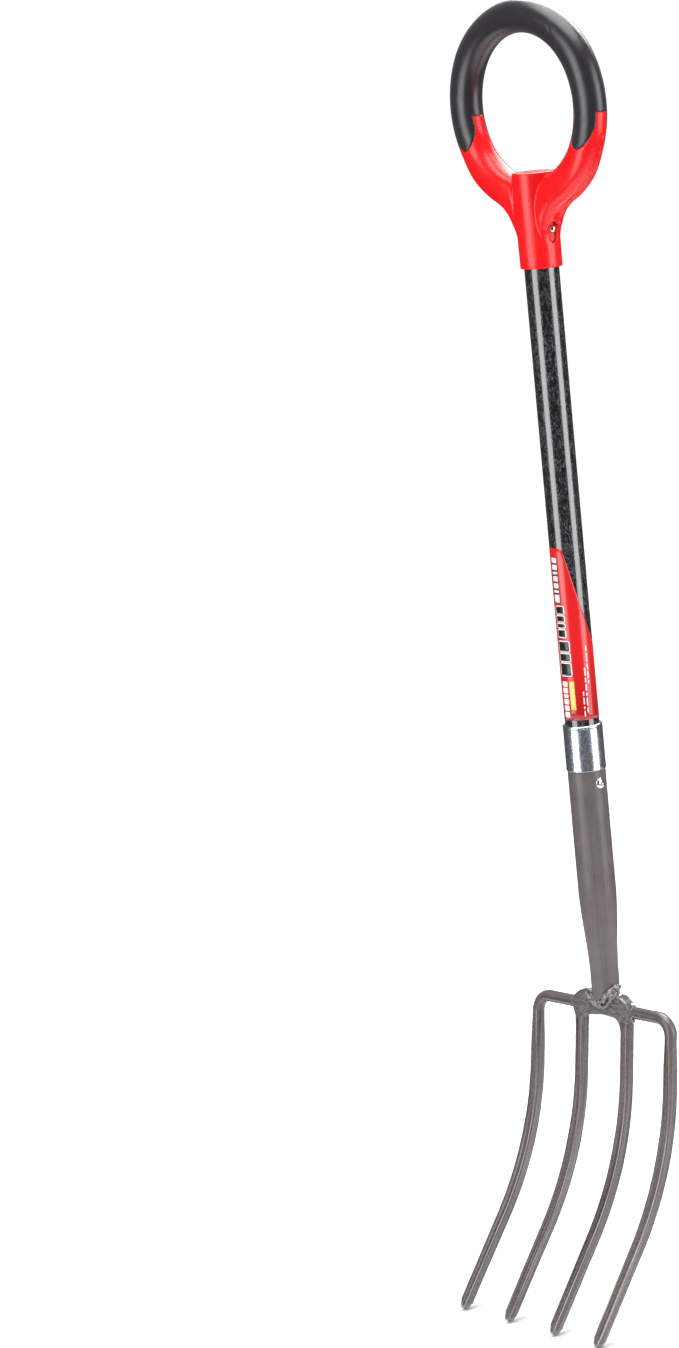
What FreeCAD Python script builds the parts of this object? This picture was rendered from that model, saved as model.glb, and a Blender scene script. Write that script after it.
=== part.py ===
import FreeCAD, Part
import math
import os
import Sketcher

from FreeCAD import Placement, Rotation, Vector

# Garden digging fork, in millimetres.
# The origin is the centre of the ring handle. Z runs up along the shaft, X along the crossbar and
# across the ring, and the four tines curve forward towards -Y.
# A "depth" is a distance below the ring's centre.

doc = FreeCAD.newDocument("DiggingFork")
sheet = doc.addObject("Spreadsheet::Sheet", "Sizes")

SIZES = [
    ("ring_radius", 73.6),           # centre of the ring to the middle of its section
    ("grip_radial", 14.2),           # half width of the ring's section, across the ring
    ("grip_axial", 12.9),            # half width of the ring's section, front to back
    ("grip_skin", 4.6),              # thickness of the soft overmould
    ("grip_end_depth", 6.5),         # where the overmould ends on the ring's inner and outer sides
    ("tongue_half_width", 12.8),     # the overmould's tongues on the front and back faces
    ("tongue_start_angle", 8.0),     # degrees below the middle of the ring, where a tongue is widest
    ("tongue_end_angle", 27.9),
    ("side_strip_half", 5.5),        # half width of the bare strips between the tongues
    ("yoke_top_depth", 53.1),
    ("yoke_bottom_depth", 130.8),
    ("yoke_top_radius", 17.9),
    ("yoke_bottom_radius", 17.3),
    ("yoke_cap", 5.0),               # closed end above the shaft
    ("arm_ring_angle", 42.0),        # degrees below the middle of the ring where an arm leaves the circle
    ("arm_inner_end", 80.0),         # degrees, where its inner edge is inside the socket
    ("arm_foot_radius", 16.8),       # where its outer edge meets the socket's side
    ("arm_foot_depth", 113.0),
    ("arm_root", 9.0),               # how far it runs on into the socket
    ("recess_width", 7.0),
    ("recess_top_depth", 93.4),
    ("recess_bottom_depth", 110.6),
    ("recess_floor", 15.0),          # distance of the recess floor from the shaft's axis
    ("handle_rivet_depth", 99.5),
    ("handle_rivet_diameter", 4.8),
    ("handle_rivet_head", 5.6),
    ("handle_rivet_rise", 4.8),
    ("shaft_diameter", 28.6),
    ("shaft_wall", 3.6),
    ("shaft_bottom_depth", 640.0),
    ("upper_plug_bottom_depth", 150.0),
    ("lower_plug_top_depth", 500.0),
    ("label_thickness", 0.15),
    ("label_tip_depth", 361.0),
    ("label_shoulder_depth", 444.0),
    ("label_bottom_depth", 506.0),
    ("label_turn", 51.0),            # degrees, the side from which the slanting edge is seen square on
    ("ferrule_top_depth", 511.1),
    ("ferrule_length", 38.4),
    ("ferrule_wall", 0.7),
    ("ferrule_lip", 1.2),
    ("socket_diameter", 32.0),
    ("socket_wall", 1.6),
    ("socket_rivet_depth", 560.8),
    ("socket_rivet_diameter", 5.0),
    ("socket_rivet_head", 9.2),
    ("socket_rivet_rise", 2.4),
    ("taper_start_depth", 656.9),
    ("taper_end_depth", 721.0),
    ("socket_end_diameter", 24.2),
    ("tongue_tip_depth", 751.5),     # lowest point of the coped socket, in front of the plate
    ("crossbar_depth", 754.6),
    ("crossbar_forward", 4.3),       # crossbar in front of the shaft's axis
    ("crossbar_diameter", 9.8),
    ("crossbar_bend", 14.3),
    ("outer_tine_offset", 80.5),
    ("outer_tine_splay", 1.5),       # how far the outer tines spread from crossbar to tip
    ("inner_tine_offset", 27.2),
    ("inner_tine_splay", 0.8),
    ("tine_top_width", 9.4),
    ("tine_low_width", 8.0),
    ("tine_tip_width", 3.4),
    ("tine_point", 6.5),             # length of the blunt four-sided point
    ("tine_lean", 8.0),              # degrees, forward lean of the straight upper tine
    ("tine_slope", 38.5),            # degrees, forward slope of the straight lower tine
    ("tine_curve_top_depth", 810.4),
    ("tine_curve_bottom_depth", 934.4),
    ("tip_depth", 1003.7),
    ("plate_half_width", 33.5),
    ("plate_top_depth", 741.2),
    ("plate_bottom_depth", 761.5),
    ("plate_front", 10.4),           # front face of the saddle plate, in front of the shaft's axis
    ("weld_radius", 2.6),
]

for row, (alias, value) in enumerate(SIZES, start=1):
    cell = f"B{row}"
    sheet.set(f"A{row}", alias)
    sheet.set(cell, str(value))
    sheet.setAlias(cell, alias)
doc.recompute()


def size(alias):
    """The plain number in the sheet's cell."""
    return float(getattr(sheet, alias))


# ---------------------------------------------------------------- helpers for parametric bodies

def origin_plane(body, role):
    return next(plane for plane in body.Origin.OriginFeatures if plane.Role == role)


def new_sketch(body, name, role):
    sketch = body.newObject("Sketcher::SketchObject", name)
    sketch.AttachmentSupport = (origin_plane(body, role), [""])
    sketch.MapMode = "FlatFace"
    return sketch


def add_circle(sketch, radius, height="0"):
    """A circle on the sketch's vertical axis; radius and height are expressions."""
    rise = sketch.evalExpression(height)
    circle = sketch.addGeometry(
        Part.Circle(Vector(0, rise, 0), Vector(0, 0, 1), sketch.evalExpression(radius)))
    index = sketch.addConstraint(Sketcher.Constraint("Radius", circle, sketch.evalExpression(radius)))
    sketch.setExpression(f"Constraints[{index}]", radius)
    sketch.addConstraint(Sketcher.Constraint("PointOnObject", circle, 3, -2))
    index = sketch.addConstraint(Sketcher.Constraint("DistanceY", circle, 3, rise))
    sketch.setExpression(f"Constraints[{index}]", height)


def add_outline(sketch, corners):
    """A closed polygon; each corner is a pair of expressions, across and up."""
    spots = [Vector(sketch.evalExpression(across), sketch.evalExpression(up), 0)
             for across, up in corners]
    for number, spot in enumerate(spots):
        sketch.addGeometry(Part.LineSegment(spot, spots[(number + 1) % len(spots)]))
    for number, (across, up) in enumerate(corners):
        sketch.addConstraint(Sketcher.Constraint("Coincident", number - 1 if number else len(corners) - 1,
                                                 2, number, 1))
        for kind, value in (("DistanceX", across), ("DistanceY", up)):
            index = sketch.addConstraint(
                Sketcher.Constraint(kind, number, 1, sketch.evalExpression(value)))
            sketch.setExpression(f"Constraints[{index}]", value)


def rod_body(name, radii, bottom, top):
    """A rod, or a tube when there are two radii, upright about the shaft's axis."""
    body = doc.addObject("PartDesign::Body", name)
    sketch = new_sketch(body, name + "_section", "XY_Plane")
    for radius in radii:
        add_circle(sketch, radius)
    pad = body.newObject("PartDesign::Pad", name + "_length")
    pad.Profile = sketch
    pad.setExpression("Length", f"({top}) - ({bottom})")
    body.setExpression("Placement.Base.z", bottom)
    return body


def turned_body(name, corners):
    """A piece turned about the shaft's axis."""
    body = doc.addObject("PartDesign::Body", name)
    sketch = new_sketch(body, name + "_profile", "XZ_Plane")
    add_outline(sketch, corners)
    turn = body.newObject("PartDesign::Revolution", name + "_turn")
    turn.Profile = sketch
    turn.ReferenceAxis = (sketch, ["V_Axis"])
    turn.Angle = 360
    return body


def cross_hole(body, name, radius, height, reach):
    """A hole right through the body along X, as deep as reach to each side."""
    doc.recompute()
    before = body.Shape.Volume
    sketch = new_sketch(body, name + "_circle", "YZ_Plane")
    add_circle(sketch, radius, height)
    pocket = body.newObject("PartDesign::Pocket", name)
    pocket.Profile = sketch
    pocket.SideType = "Symmetric"
    pocket.setExpression("Length", f"2 * ({reach})")
    doc.recompute()
    if body.Shape.Volume >= before:
        raise RuntimeError(name + " cuts nothing")


def feature(name, shape):
    """A sub-part whose shape is built by Part's own functions."""
    part = doc.addObject("Part::Feature", name)
    part.Shape = shape
    part.Placement = Placement()
    return part


# ---------------------------------------------------------------- shaft, plugs and label

def make_shaft():
    top = "-Sizes.yoke_top_depth - Sizes.yoke_cap"
    bottom = "-Sizes.shaft_bottom_depth"
    outer = "Sizes.shaft_diameter / 2"
    shaft = rod_body("shaft_tube", [outer, outer + " - Sizes.shaft_wall"],
                     bottom, top)
    for rivet in ("handle_rivet", "socket_rivet"):
        cross_hole(shaft, "shaft_" + rivet + "_hole", f"Sizes.{rivet}_diameter / 2",
                   f"Sizes.shaft_bottom_depth - Sizes.{rivet}_depth", "Sizes.shaft_diameter")
    return shaft


def make_plug(name, bottom, top, rivet):
    plug = rod_body(name, ["Sizes.shaft_diameter / 2 - Sizes.shaft_wall"], bottom, top)
    cross_hole(plug, name + "_hole", f"Sizes.{rivet}_diameter / 2",
               f"-Sizes.{rivet}_depth - ({bottom})", "Sizes.shaft_diameter")
    return plug


def make_label():
    """A thin film round the shaft whose upper edge falls from one side to the other."""
    inner = size("shaft_diameter") / 2
    outer = inner + size("label_thickness")
    bottom = -size("label_bottom_depth")
    tip = -size("label_tip_depth")
    shoulder = -size("label_shoulder_depth")
    film = Part.makeCylinder(outer, tip - bottom, Vector(0, 0, bottom))
    film = film.cut(Part.makeCylinder(inner, tip - bottom, Vector(0, 0, bottom)))
    reach = 2 * outer
    edge = Part.BezierCurve()
    edge.setPoles([Vector(-outer, 0, tip), Vector(-0.2 * outer, 0, tip - 2),
                   Vector(0.5 * outer, 0, shoulder + 25), Vector(outer, 0, shoulder)])
    corners = [Vector(outer, 0, shoulder), Vector(reach, 0, shoulder), Vector(reach, 0, tip + 5),
               Vector(-reach, 0, tip + 5), Vector(-reach, 0, tip), Vector(-outer, 0, tip)]
    above = Part.Wire([edge.toShape()] + Part.makePolygon(corners).Edges)
    above = Part.Face(above).extrude(Vector(0, 2 * reach, 0))
    above.translate(Vector(0, -reach, 0))
    above.rotate(Vector(), Vector(0, 0, 1), size("label_turn"))
    return feature("shaft_label", film.cut(above))


# ---------------------------------------------------------------- ring handle

def ring(radial, axial):
    """A full ring whose section is an ellipse."""
    section = Part.Ellipse(Vector(), radial, axial)
    section = Part.Face(Part.Wire(section.toShape()))
    section.translate(Vector(size("ring_radius"), 0, 0))
    return section.revolve(Vector(), Vector(0, 1, 0), 360)


def slab(low, high):
    """A box given by its two opposite corners."""
    return Part.makeBox(*(high - low), low)


def grip_region():
    """The space the overmould fills: the ring's upper part and the tongues below it."""
    far = 2 * size("ring_radius")
    end = -size("grip_end_depth")
    upper = slab(Vector(-far, -far, end), Vector(far, far, far))
    tongues = []
    for side in (-1, 1):
        # Each tongue is the lower half of a long oval that lies along the arm.
        start = polar(Vector(), size("ring_radius"), size("tongue_start_angle"))
        tip = polar(Vector(), size("ring_radius"), size("tongue_end_angle"))
        length = (tip - start).Length
        oval = Part.Ellipse(Vector(), length, size("tongue_half_width"))
        tongue = Part.Face(Part.Wire(oval.toShape())).extrude(Vector(0, 0, 2 * far))
        tongue.translate(Vector(0, 0, -far))
        tongue.rotate(Vector(), Vector(1, 0, 0), 90)
        slope = math.degrees(math.atan2(start.z - tip.z, start.x - tip.x))
        tongue.rotate(Vector(), Vector(0, 1, 0), -slope)
        tongue.translate(start)
        if side < 0:
            tongue = tongue.mirror(Vector(), Vector(1, 0, 0))
        tongues.append(tongue)
    strip = size("side_strip_half")
    tongues = tongues[0].fuse(tongues[1]).cut(slab(Vector(-far, -strip, -far), Vector(far, strip, end)))
    return upper.fuse(tongues)


def make_grip():
    radial = size("grip_radial")
    axial = size("grip_axial")
    skin = size("grip_skin")
    shell = ring(radial, axial).cut(ring(radial - skin, axial - skin))
    return feature("grip_overmould", shell.common(grip_region()).removeSplitter())


def arm_section(inner, outer, half_thickness):
    """An ellipse that spans two points of the XZ plane, thick along Y."""
    centre = (inner + outer) * 0.5
    across = (outer - inner).normalize()
    half = inner.distanceToPoint(outer) / 2
    wire = Part.Wire(Part.Ellipse(Vector(), half, half_thickness).toShape())
    turned = Rotation(across, Vector(0, 1, 0), across.cross(Vector(0, 1, 0)), "XYZ")
    wire.Placement = Placement(centre, turned)
    return wire


def polar(centre, radius, angle):
    """A point of the XZ plane; the angle is in degrees below the X axis."""
    turn = math.radians(angle)
    return centre + Vector(radius * math.cos(turn), 0, -radius * math.sin(turn))


def yoke_arm():
    """The right arm. It follows the ring, then sweeps in a hollow curve into the socket's side."""
    inner_radius = size("ring_radius") - size("grip_radial")
    outer_radius = size("ring_radius") + size("grip_radial")
    thick = size("grip_axial")
    side = size("arm_foot_radius")
    foot = size("arm_foot_depth")
    # The hollow curve is an arc that touches the ring's outside and the socket's upright side.
    hollow = (side * side + foot * foot - outer_radius * outer_radius) / (2 * (outer_radius - side))
    centre = Vector(side + hollow, 0, -foot)
    meeting = math.degrees(math.atan2(foot, side + hollow))
    start = size("arm_ring_angle")
    ring_arc = math.radians(meeting - start) * outer_radius
    hollow_arc = math.radians(meeting) * hollow
    inner_end = size("arm_inner_end")

    def outer_point(share):
        travelled = share * (ring_arc + hollow_arc)
        if travelled <= ring_arc:
            return polar(Vector(), outer_radius, start + math.degrees(travelled / outer_radius))
        back = math.degrees((travelled - ring_arc) / hollow)
        return polar(centre, hollow, 180 + meeting - back)

    section = Part.Ellipse(Vector(), size("grip_radial"), thick)
    section = Part.Face(Part.Wire(section.toShape()))
    section.translate(Vector(size("ring_radius"), 0, 0))
    upper = section.revolve(Vector(), Vector(0, 1, 0), start)
    wires = []
    for share in (0, 0.03, 0.12, 0.24, 0.36, 0.48, 0.6, 0.72, 0.86, 1):
        inner = polar(Vector(), inner_radius, start + share * (inner_end - start))
        wires.append(arm_section(inner, outer_point(share), thick))
    root = size("arm_root")
    wires.append(arm_section(polar(Vector(), inner_radius, inner_end) - Vector(root, 0, 0),
                             outer_point(1) - Vector(root, 0, 0), thick))
    return upper.fuse(Part.makeLoft(wires, True, False))


def make_handle_core():
    top = -size("yoke_top_depth")
    bottom = -size("yoke_bottom_depth")
    yoke = Part.makeCone(size("yoke_bottom_radius"), size("yoke_top_radius"), top - bottom,
                         Vector(0, 0, bottom))
    yoke = yoke.fuse(yoke_arm())
    yoke = yoke.fuse(yoke_arm().mirror(Vector(), Vector(1, 0, 0)))
    skin = size("grip_skin")
    core = ring(size("grip_radial") - skin, size("grip_axial") - skin)
    far = 2 * size("ring_radius")
    core = core.common(slab(Vector(-far, -far, -size("ring_radius") / 2), Vector(far, far, far)))
    shape = yoke.cut(grip_region().cut(core)).fuse(core)
    bore = Part.makeCylinder(size("shaft_diameter") / 2, top - size("yoke_cap") - bottom,
                             Vector(0, 0, bottom))
    shape = shape.cut(bore)
    for side in (-1, 1):
        shape = shape.cut(rivet_recess(side))
    hole = Part.makeCylinder(size("handle_rivet_diameter") / 2, far,
                             Vector(-far / 2, 0, -size("handle_rivet_depth")), Vector(1, 0, 0))
    return feature("handle_core", shape.cut(hole).removeSplitter())


def rivet_recess(side):
    """An oblong pocket in the side of the yoke, with a rivet head at its upper end."""
    half = size("recess_width") / 2
    floor = size("recess_floor")
    top = -size("recess_top_depth") - half
    bottom = -size("recess_bottom_depth") + half
    reach = size("ring_radius")
    axis = Vector(side, 0, 0)
    pocket = slab(Vector(min(side * floor, side * reach), -half, bottom),
                  Vector(max(side * floor, side * reach), half, top))
    for height in (top, bottom):
        pocket = pocket.fuse(Part.makeCylinder(half, reach - floor, Vector(side * floor, 0, height), axis))
    return pocket


# ---------------------------------------------------------------- rivets

def domed_rivet(name, seat):
    """A through rivet along X with a domed head on each side; seat is the heads' distance from the axis."""
    height = -size(name + "_depth")
    shank = Part.makeCylinder(size(name + "_diameter") / 2, 2 * seat, Vector(-seat, 0, height),
                              Vector(1, 0, 0))
    half = size(name + "_head") / 2
    rise = size(name + "_rise")
    ball = (half * half + rise * rise) / (2 * rise)
    for side in (-1, 1):
        dome = Part.makeSphere(ball, Vector(side * (seat + rise - ball), 0, height))
        keep = Part.makeCylinder(2 * ball, 2 * ball, Vector(side * seat, 0, height), Vector(side, 0, 0))
        shank = shank.fuse(dome.common(keep))
    return shank


def make_handle_rivet():
    return feature("handle_rivet", domed_rivet("handle_rivet", size("recess_floor")))


def make_socket_rivet():
    """The head's underside is saddled over the round socket."""
    radius = size("socket_diameter") / 2
    half = size("socket_rivet_head") / 2
    seat = math.sqrt(radius * radius - half * half)
    rivet = domed_rivet("socket_rivet", seat)
    depth = size("socket_rivet_depth")
    reach = 2 * half
    tube = Part.makeCylinder(radius, 2 * reach, Vector(0, 0, -depth - reach))
    pin = Part.makeCylinder(size("socket_rivet_diameter") / 2, 2 * radius,
                            Vector(-radius, 0, -depth), Vector(1, 0, 0))
    return feature("socket_rivet", rivet.cut(tube).fuse(pin).removeSplitter())


# ---------------------------------------------------------------- ferrule and steel socket

def make_ferrule():
    top = "-Sizes.ferrule_top_depth"
    bottom = "-Sizes.ferrule_top_depth - Sizes.ferrule_length"
    outer = "Sizes.socket_diameter / 2 + Sizes.ferrule_wall"
    inner = "Sizes.socket_diameter / 2"
    return turned_body("ferrule_collar", [
        (inner, bottom),
        (outer, bottom),
        (outer, top + " - Sizes.ferrule_wall"),
        (outer + " - Sizes.ferrule_wall", top),
        ("Sizes.shaft_diameter / 2 + 0.05", top),
        ("Sizes.shaft_diameter / 2 + 0.05", top + " - Sizes.ferrule_lip"),
        (inner, top + " - Sizes.ferrule_lip"),
    ])


def make_steel_socket():
    top = "-Sizes.ferrule_top_depth - Sizes.ferrule_lip"
    outer = "Sizes.socket_diameter / 2"
    end = "Sizes.socket_end_diameter / 2"
    wall = " - Sizes.socket_wall"
    tube = turned_body("socket_blank", [
        (outer + wall, top),
        (outer, top),
        (outer, "-Sizes.taper_start_depth"),
        (end, "-Sizes.taper_end_depth"),
        (end, "-Sizes.tongue_tip_depth"),
        (end + wall, "-Sizes.tongue_tip_depth"),
        (end + wall, "-Sizes.taper_end_depth"),
        (outer + wall, "-Sizes.taper_start_depth"),
    ])
    doc.recompute()
    shape = tube.Shape.cut(Part.makeCylinder(
        size("socket_rivet_diameter") / 2, 2 * size("socket_diameter"),
        Vector(-size("socket_diameter"), 0, -size("socket_rivet_depth")), Vector(1, 0, 0)))
    shape = shape.cut(crossbar())
    shape = shape.cut(saddle_plate())
    # The mouth is cut away on both sides, so that a tongue is left in front and one at the back.
    notch = size("socket_end_diameter")
    low = -size("tongue_tip_depth")
    for side in (-1, 1):
        for face in (-1, 1):
            wedge = Part.makePolygon([
                Vector(side * 0.12 * notch, 0, low - 1), Vector(side * notch, 0, low + 0.62 * notch),
                Vector(side * notch, 0, low - 1), Vector(side * 0.12 * notch, 0, low - 1)])
            shape = shape.cut(Part.Face(wedge).extrude(Vector(0, face * notch, 0)))
    return feature("steel_socket", shape)


# ---------------------------------------------------------------- tine bows

TINE_CORNER = 0.24    # corner radius of the square bar as a share of its width
ROUND_CORNER = 0.49   # the same for the crossbar, which is all but round


def crossbar_height():
    return -size("crossbar_depth")


def crossbar():
    """The round bar with its two bends, which end in the plane of the leaning tines."""
    lean = math.radians(size("tine_lean"))
    bend = size("crossbar_bend")
    down = Vector(0, -math.sin(lean), -math.cos(lean))
    starts = []
    arcs = []
    for side in (-1, 1):
        out = Vector(side, 0, 0)
        start = Vector(side * (size("outer_tine_offset") - bend), -size("crossbar_forward"),
                       crossbar_height())
        middle = start + out * (bend * math.sin(math.pi / 4)) + down * (bend * (1 - math.cos(math.pi / 4)))
        end = start + out * bend + down * bend
        starts.append(start)
        arcs.append(Part.Arc(end, middle, start).toShape())
    path = Part.Wire(Part.sortEdges([arcs[0], Part.makeLine(*starts), arcs[1]])[0])
    left_end = arcs[0].Vertexes[0].Point
    width = size("crossbar_diameter")
    lean = Rotation(Vector(1, 0, 0), -size("tine_lean"))
    section = bar_section(width, ROUND_CORNER * width, left_end, lean)
    return path.makePipeShell([section], True, False)


def tine_path():
    """Heights, forward offsets and directions at which the tine's section is placed, top to bottom."""
    lean = math.radians(size("tine_lean"))
    slope = math.radians(size("tine_slope"))
    start = -size("crossbar_depth")
    curve_top = -size("tine_curve_top_depth")
    curve_bottom = -size("tine_curve_bottom_depth")
    tip = -size("tip_depth")
    radius = (curve_top - curve_bottom) / (math.sin(slope) - math.sin(lean))
    forward = size("crossbar_forward") + (start - curve_top) * math.tan(lean)
    path = []
    steps = 6
    for step in range(steps + 1):
        angle = lean + (slope - lean) * step / steps
        drop = radius * (math.sin(angle) - math.sin(lean))
        reach = radius * (math.cos(lean) - math.cos(angle))
        path.append((curve_top - drop, forward + reach, angle))
    last = path[-1][1]
    end = tip + size("tine_point") * math.cos(slope)
    for share in (0.15, 0.4, 0.7, 1):
        height = curve_bottom + share * (end - curve_bottom)
        path.append((height, last + (curve_bottom - height) * math.tan(slope), slope))
    path.append((tip, last + (curve_bottom - tip) * math.tan(slope), slope))
    return path


def bar_section(width, corner, place, turn):
    """A square with round corners, as a wire of four lines and four arcs."""
    half = width / 2
    flat = half - corner
    edges = []
    for quarter in range(4):
        spin = Rotation(Vector(0, 0, 1), 90 * quarter)
        low = spin.multVec(Vector(half, -flat, 0))
        high = spin.multVec(Vector(half, flat, 0))
        bend = spin.multVec(Vector(flat + corner * math.sqrt(0.5), flat + corner * math.sqrt(0.5), 0))
        after = spin.multVec(Vector(flat, half, 0))
        edges.append(Part.makeLine(low, high))
        edges.append(Part.Arc(high, bend, after).toShape())
    wire = Part.Wire(edges)
    wire.Placement = Placement(place, turn)
    return wire


def tine(side, name, top, top_width, top_corner):
    """One curved tine with a blunt point; top is where its section starts, below the crossbar's centre."""
    lean = math.radians(size("tine_lean"))
    start = -size("crossbar_depth") - top
    length = start + size("tip_depth")
    rest_of_lean = 0.5 * (start + size("tine_curve_top_depth"))
    stations = [
        (start, size("crossbar_forward") + top * math.tan(lean), lean),
        (start - rest_of_lean, size("crossbar_forward") + (top + rest_of_lean) * math.tan(lean), lean),
    ] + tine_path()
    wide = size("tine_top_width")
    narrow = size("tine_low_width")

    def section(station, width, corner):
        height, forward, angle = station
        across = size(name + "_tine_offset") + size(name + "_tine_splay") * (start - height) / length
        turn = Rotation(Vector(1, 0, 0), -math.degrees(angle))
        return bar_section(width, corner, Vector(side * across, -forward, height), turn)

    wires = [section(stations[0], top_width, top_corner)]
    for station in stations[1:-1]:
        width = wide + (narrow - wide) * (start - station[0]) / length
        wires.append(section(station, width, TINE_CORNER * width))
    tip_width = size("tine_tip_width")
    tip = section(stations[-1], tip_width, TINE_CORNER * tip_width)
    return Part.makeLoft(wires, True, False).fuse(Part.makeLoft([wires[-1], tip], True, True))


def make_outer_bow():
    lean = math.radians(size("tine_lean"))
    width = size("crossbar_diameter")
    shape = crossbar()
    for side in (-1, 1):
        shape = shape.fuse(tine(side, "outer", size("crossbar_bend") * math.cos(lean), width,
                                ROUND_CORNER * width))
    return feature("outer_tine_bow", shape)


def saddle_plate():
    """The flat forged plate in front of the crossbar, grooved to fit it."""
    half = size("plate_half_width")
    top = -size("plate_top_depth")
    bottom = -size("plate_bottom_depth")
    foot = bottom - 8
    centre = size("inner_tine_offset")
    tine_half = size("tine_top_width") / 2
    inside = centre - tine_half
    outside = centre + tine_half
    fillet = 7.0
    shoulder = 17.0
    shoulder_drop = 13.0
    front = -size("plate_front")

    def spot(x, z):
        return Vector(x, front, z)

    def mirrored(edge):
        return edge.mirror(Vector(), Vector(1, 0, 0))

    arc = math.sqrt(0.5)
    right = [
        Part.makeLine(spot(0, top), spot(half - shoulder, top)),
        Part.Arc(spot(half - shoulder, top),
                 spot(half - shoulder * (1 - arc), top - shoulder_drop * (1 - arc)),
                 spot(half, top - shoulder_drop)).toShape(),
        Part.makeLine(spot(half, top - shoulder_drop), spot(half, bottom + 3)),
        Part.makeLine(spot(half, bottom + 3), spot(outside, foot)),
        Part.makeLine(spot(outside, foot), spot(inside, foot)),
        Part.makeLine(spot(inside, foot), spot(inside, bottom - fillet)),
        Part.Arc(spot(inside, bottom - fillet),
                 spot(inside - fillet * (1 - arc), bottom - fillet * (1 - arc)),
                 spot(inside - fillet, bottom)).toShape(),
        Part.makeLine(spot(inside - fillet, bottom), spot(0, bottom)),
    ]
    outline = Part.Wire(Part.sortEdges(right + [mirrored(edge) for edge in right])[0])
    thickness = size("plate_front") - size("crossbar_forward")
    return Part.Face(outline).extrude(Vector(0, thickness, 0)).cut(crossbar())


def make_inner_bow():
    shape = saddle_plate()
    gap = 0.6
    top = size("crossbar_diameter") / 2 + gap
    for side in (-1, 1):
        shape = shape.fuse(tine(side, "inner", top, size("tine_top_width"),
                                TINE_CORNER * size("tine_top_width")))
    return feature("inner_tine_bow", shape.removeSplitter())


# ---------------------------------------------------------------- welds

def bead(points, radius):
    """A round bead along straight runs, with round corners and ends."""
    shape = Part.makeSphere(radius, points[0])
    for start, end in zip(points, points[1:]):
        run = Part.makeCylinder(radius, (end - start).Length, start, end - start)
        shape = shape.fuse(run).fuse(Part.makeSphere(radius, end))
    return shape


def trimmed(name, shape, others):
    """The bead with its neighbours' metal taken out of it; the largest piece is kept."""
    for other in others:
        shape = shape.cut(other.Shape)
    largest = max(shape.Solids, key=lambda solid: solid.Volume)
    return feature(name, largest)


def make_welds(socket, outer_bow, inner_bow):
    steel = [socket, outer_bow, inner_bow]
    radius = size("weld_radius")
    front = -size("plate_front") - 0.5
    tube = size("socket_end_diameter") / 2
    tip = -size("tongue_tip_depth")
    top = -size("plate_top_depth")
    bar = -size("crossbar_forward")
    bar_half = size("crossbar_diameter") / 2
    middle = crossbar_height()
    welds = [trimmed("socket_weld_front", bead([
        Vector(-tube - 0.5, front + 5.5, top + 2.5), Vector(-0.6 * tube, front - 0.5, tip + 5),
        Vector(0, front - 1.5, tip - 0.5), Vector(0.6 * tube, front - 0.5, tip + 5),
        Vector(0.95 * tube, front + 4, tip + 12), Vector(tube + 0.3, front + 8, tip + 16)], radius), steel)]
    welds.append(trimmed("socket_weld_back", bead([
        Vector(-tube, bar + 4, tip + 13), Vector(-0.7 * tube, bar + 7.5, tip + 7),
        Vector(-0.3 * tube, bar + bar_half + 2, middle + bar_half - 1),
        Vector(0.3 * tube, bar + bar_half + 2, middle + bar_half - 1),
        Vector(0.7 * tube, bar + 7.5, tip + 7), Vector(tube, bar + 4, tip + 13)], 1.25 * radius),
        steel + [welds[0]]))
    edge = size("plate_half_width")
    for name, side in (("bow_weld_left", -1), ("bow_weld_right", 1)):
        collar = Part.makeCone(bar_half + radius, bar_half + 0.3, 5.5,
                               Vector(side * (edge - 0.5), bar, middle), Vector(side, 0, 0))
        welds.append(trimmed(name, collar, steel))
    reach = edge - 5
    sunk = 0.3
    for name, height in (("bow_weld_top", middle + bar_half - sunk),
                         ("bow_weld_bottom", middle - bar_half + sunk)):
        line = bead([Vector(-reach, bar + 1.6, height), Vector(reach, bar + 1.6, height)], 0.8 * radius)
        welds.append(trimmed(name, line, steel + welds))
    return welds


# ---------------------------------------------------------------- build, check and write

def main():
    socket = make_steel_socket()
    outer_bow = make_outer_bow()
    inner_bow = make_inner_bow()
    pieces = [
        make_handle_core(),
        make_grip(),
        make_handle_rivet(),
        make_shaft(),
        make_plug("upper_core_plug", "-Sizes.upper_plug_bottom_depth",
                  "-Sizes.yoke_top_depth - Sizes.yoke_cap", "handle_rivet"),
        make_plug("lower_core_plug", "-Sizes.shaft_bottom_depth", "-Sizes.lower_plug_top_depth",
                  "socket_rivet"),
        make_label(),
        make_ferrule(),
        socket,
        make_socket_rivet(),
        outer_bow,
        inner_bow,
    ] + make_welds(socket, outer_bow, inner_bow)
    doc.recompute()
    for item in doc.Objects:
        if "Invalid" in item.State or "Error" in item.State:
            raise RuntimeError(f"{item.Name} failed: {item.State}")
    os.makedirs("parts", exist_ok=True)
    for piece in pieces:
        shape = piece.Shape
        if shape.isNull() or not shape.isValid() or not shape.Solids:
            raise RuntimeError(f"{piece.Label} has no valid shape")
        print(piece.Label, len(shape.Solids), "solid", round(shape.Volume / 1000, 2), "cm3",
              [round(value, 1) for value in (shape.BoundBox.XMin, shape.BoundBox.XMax, shape.BoundBox.YMin,
                                             shape.BoundBox.YMax, shape.BoundBox.ZMin, shape.BoundBox.ZMax)])
        shape.exportStep(f"parts/{piece.Label}.step")


main()
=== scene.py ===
import math
from contextlib import contextmanager

import bmesh
import bpy
import numpy as np
from mathutils import Matrix, Vector, noise


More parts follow.
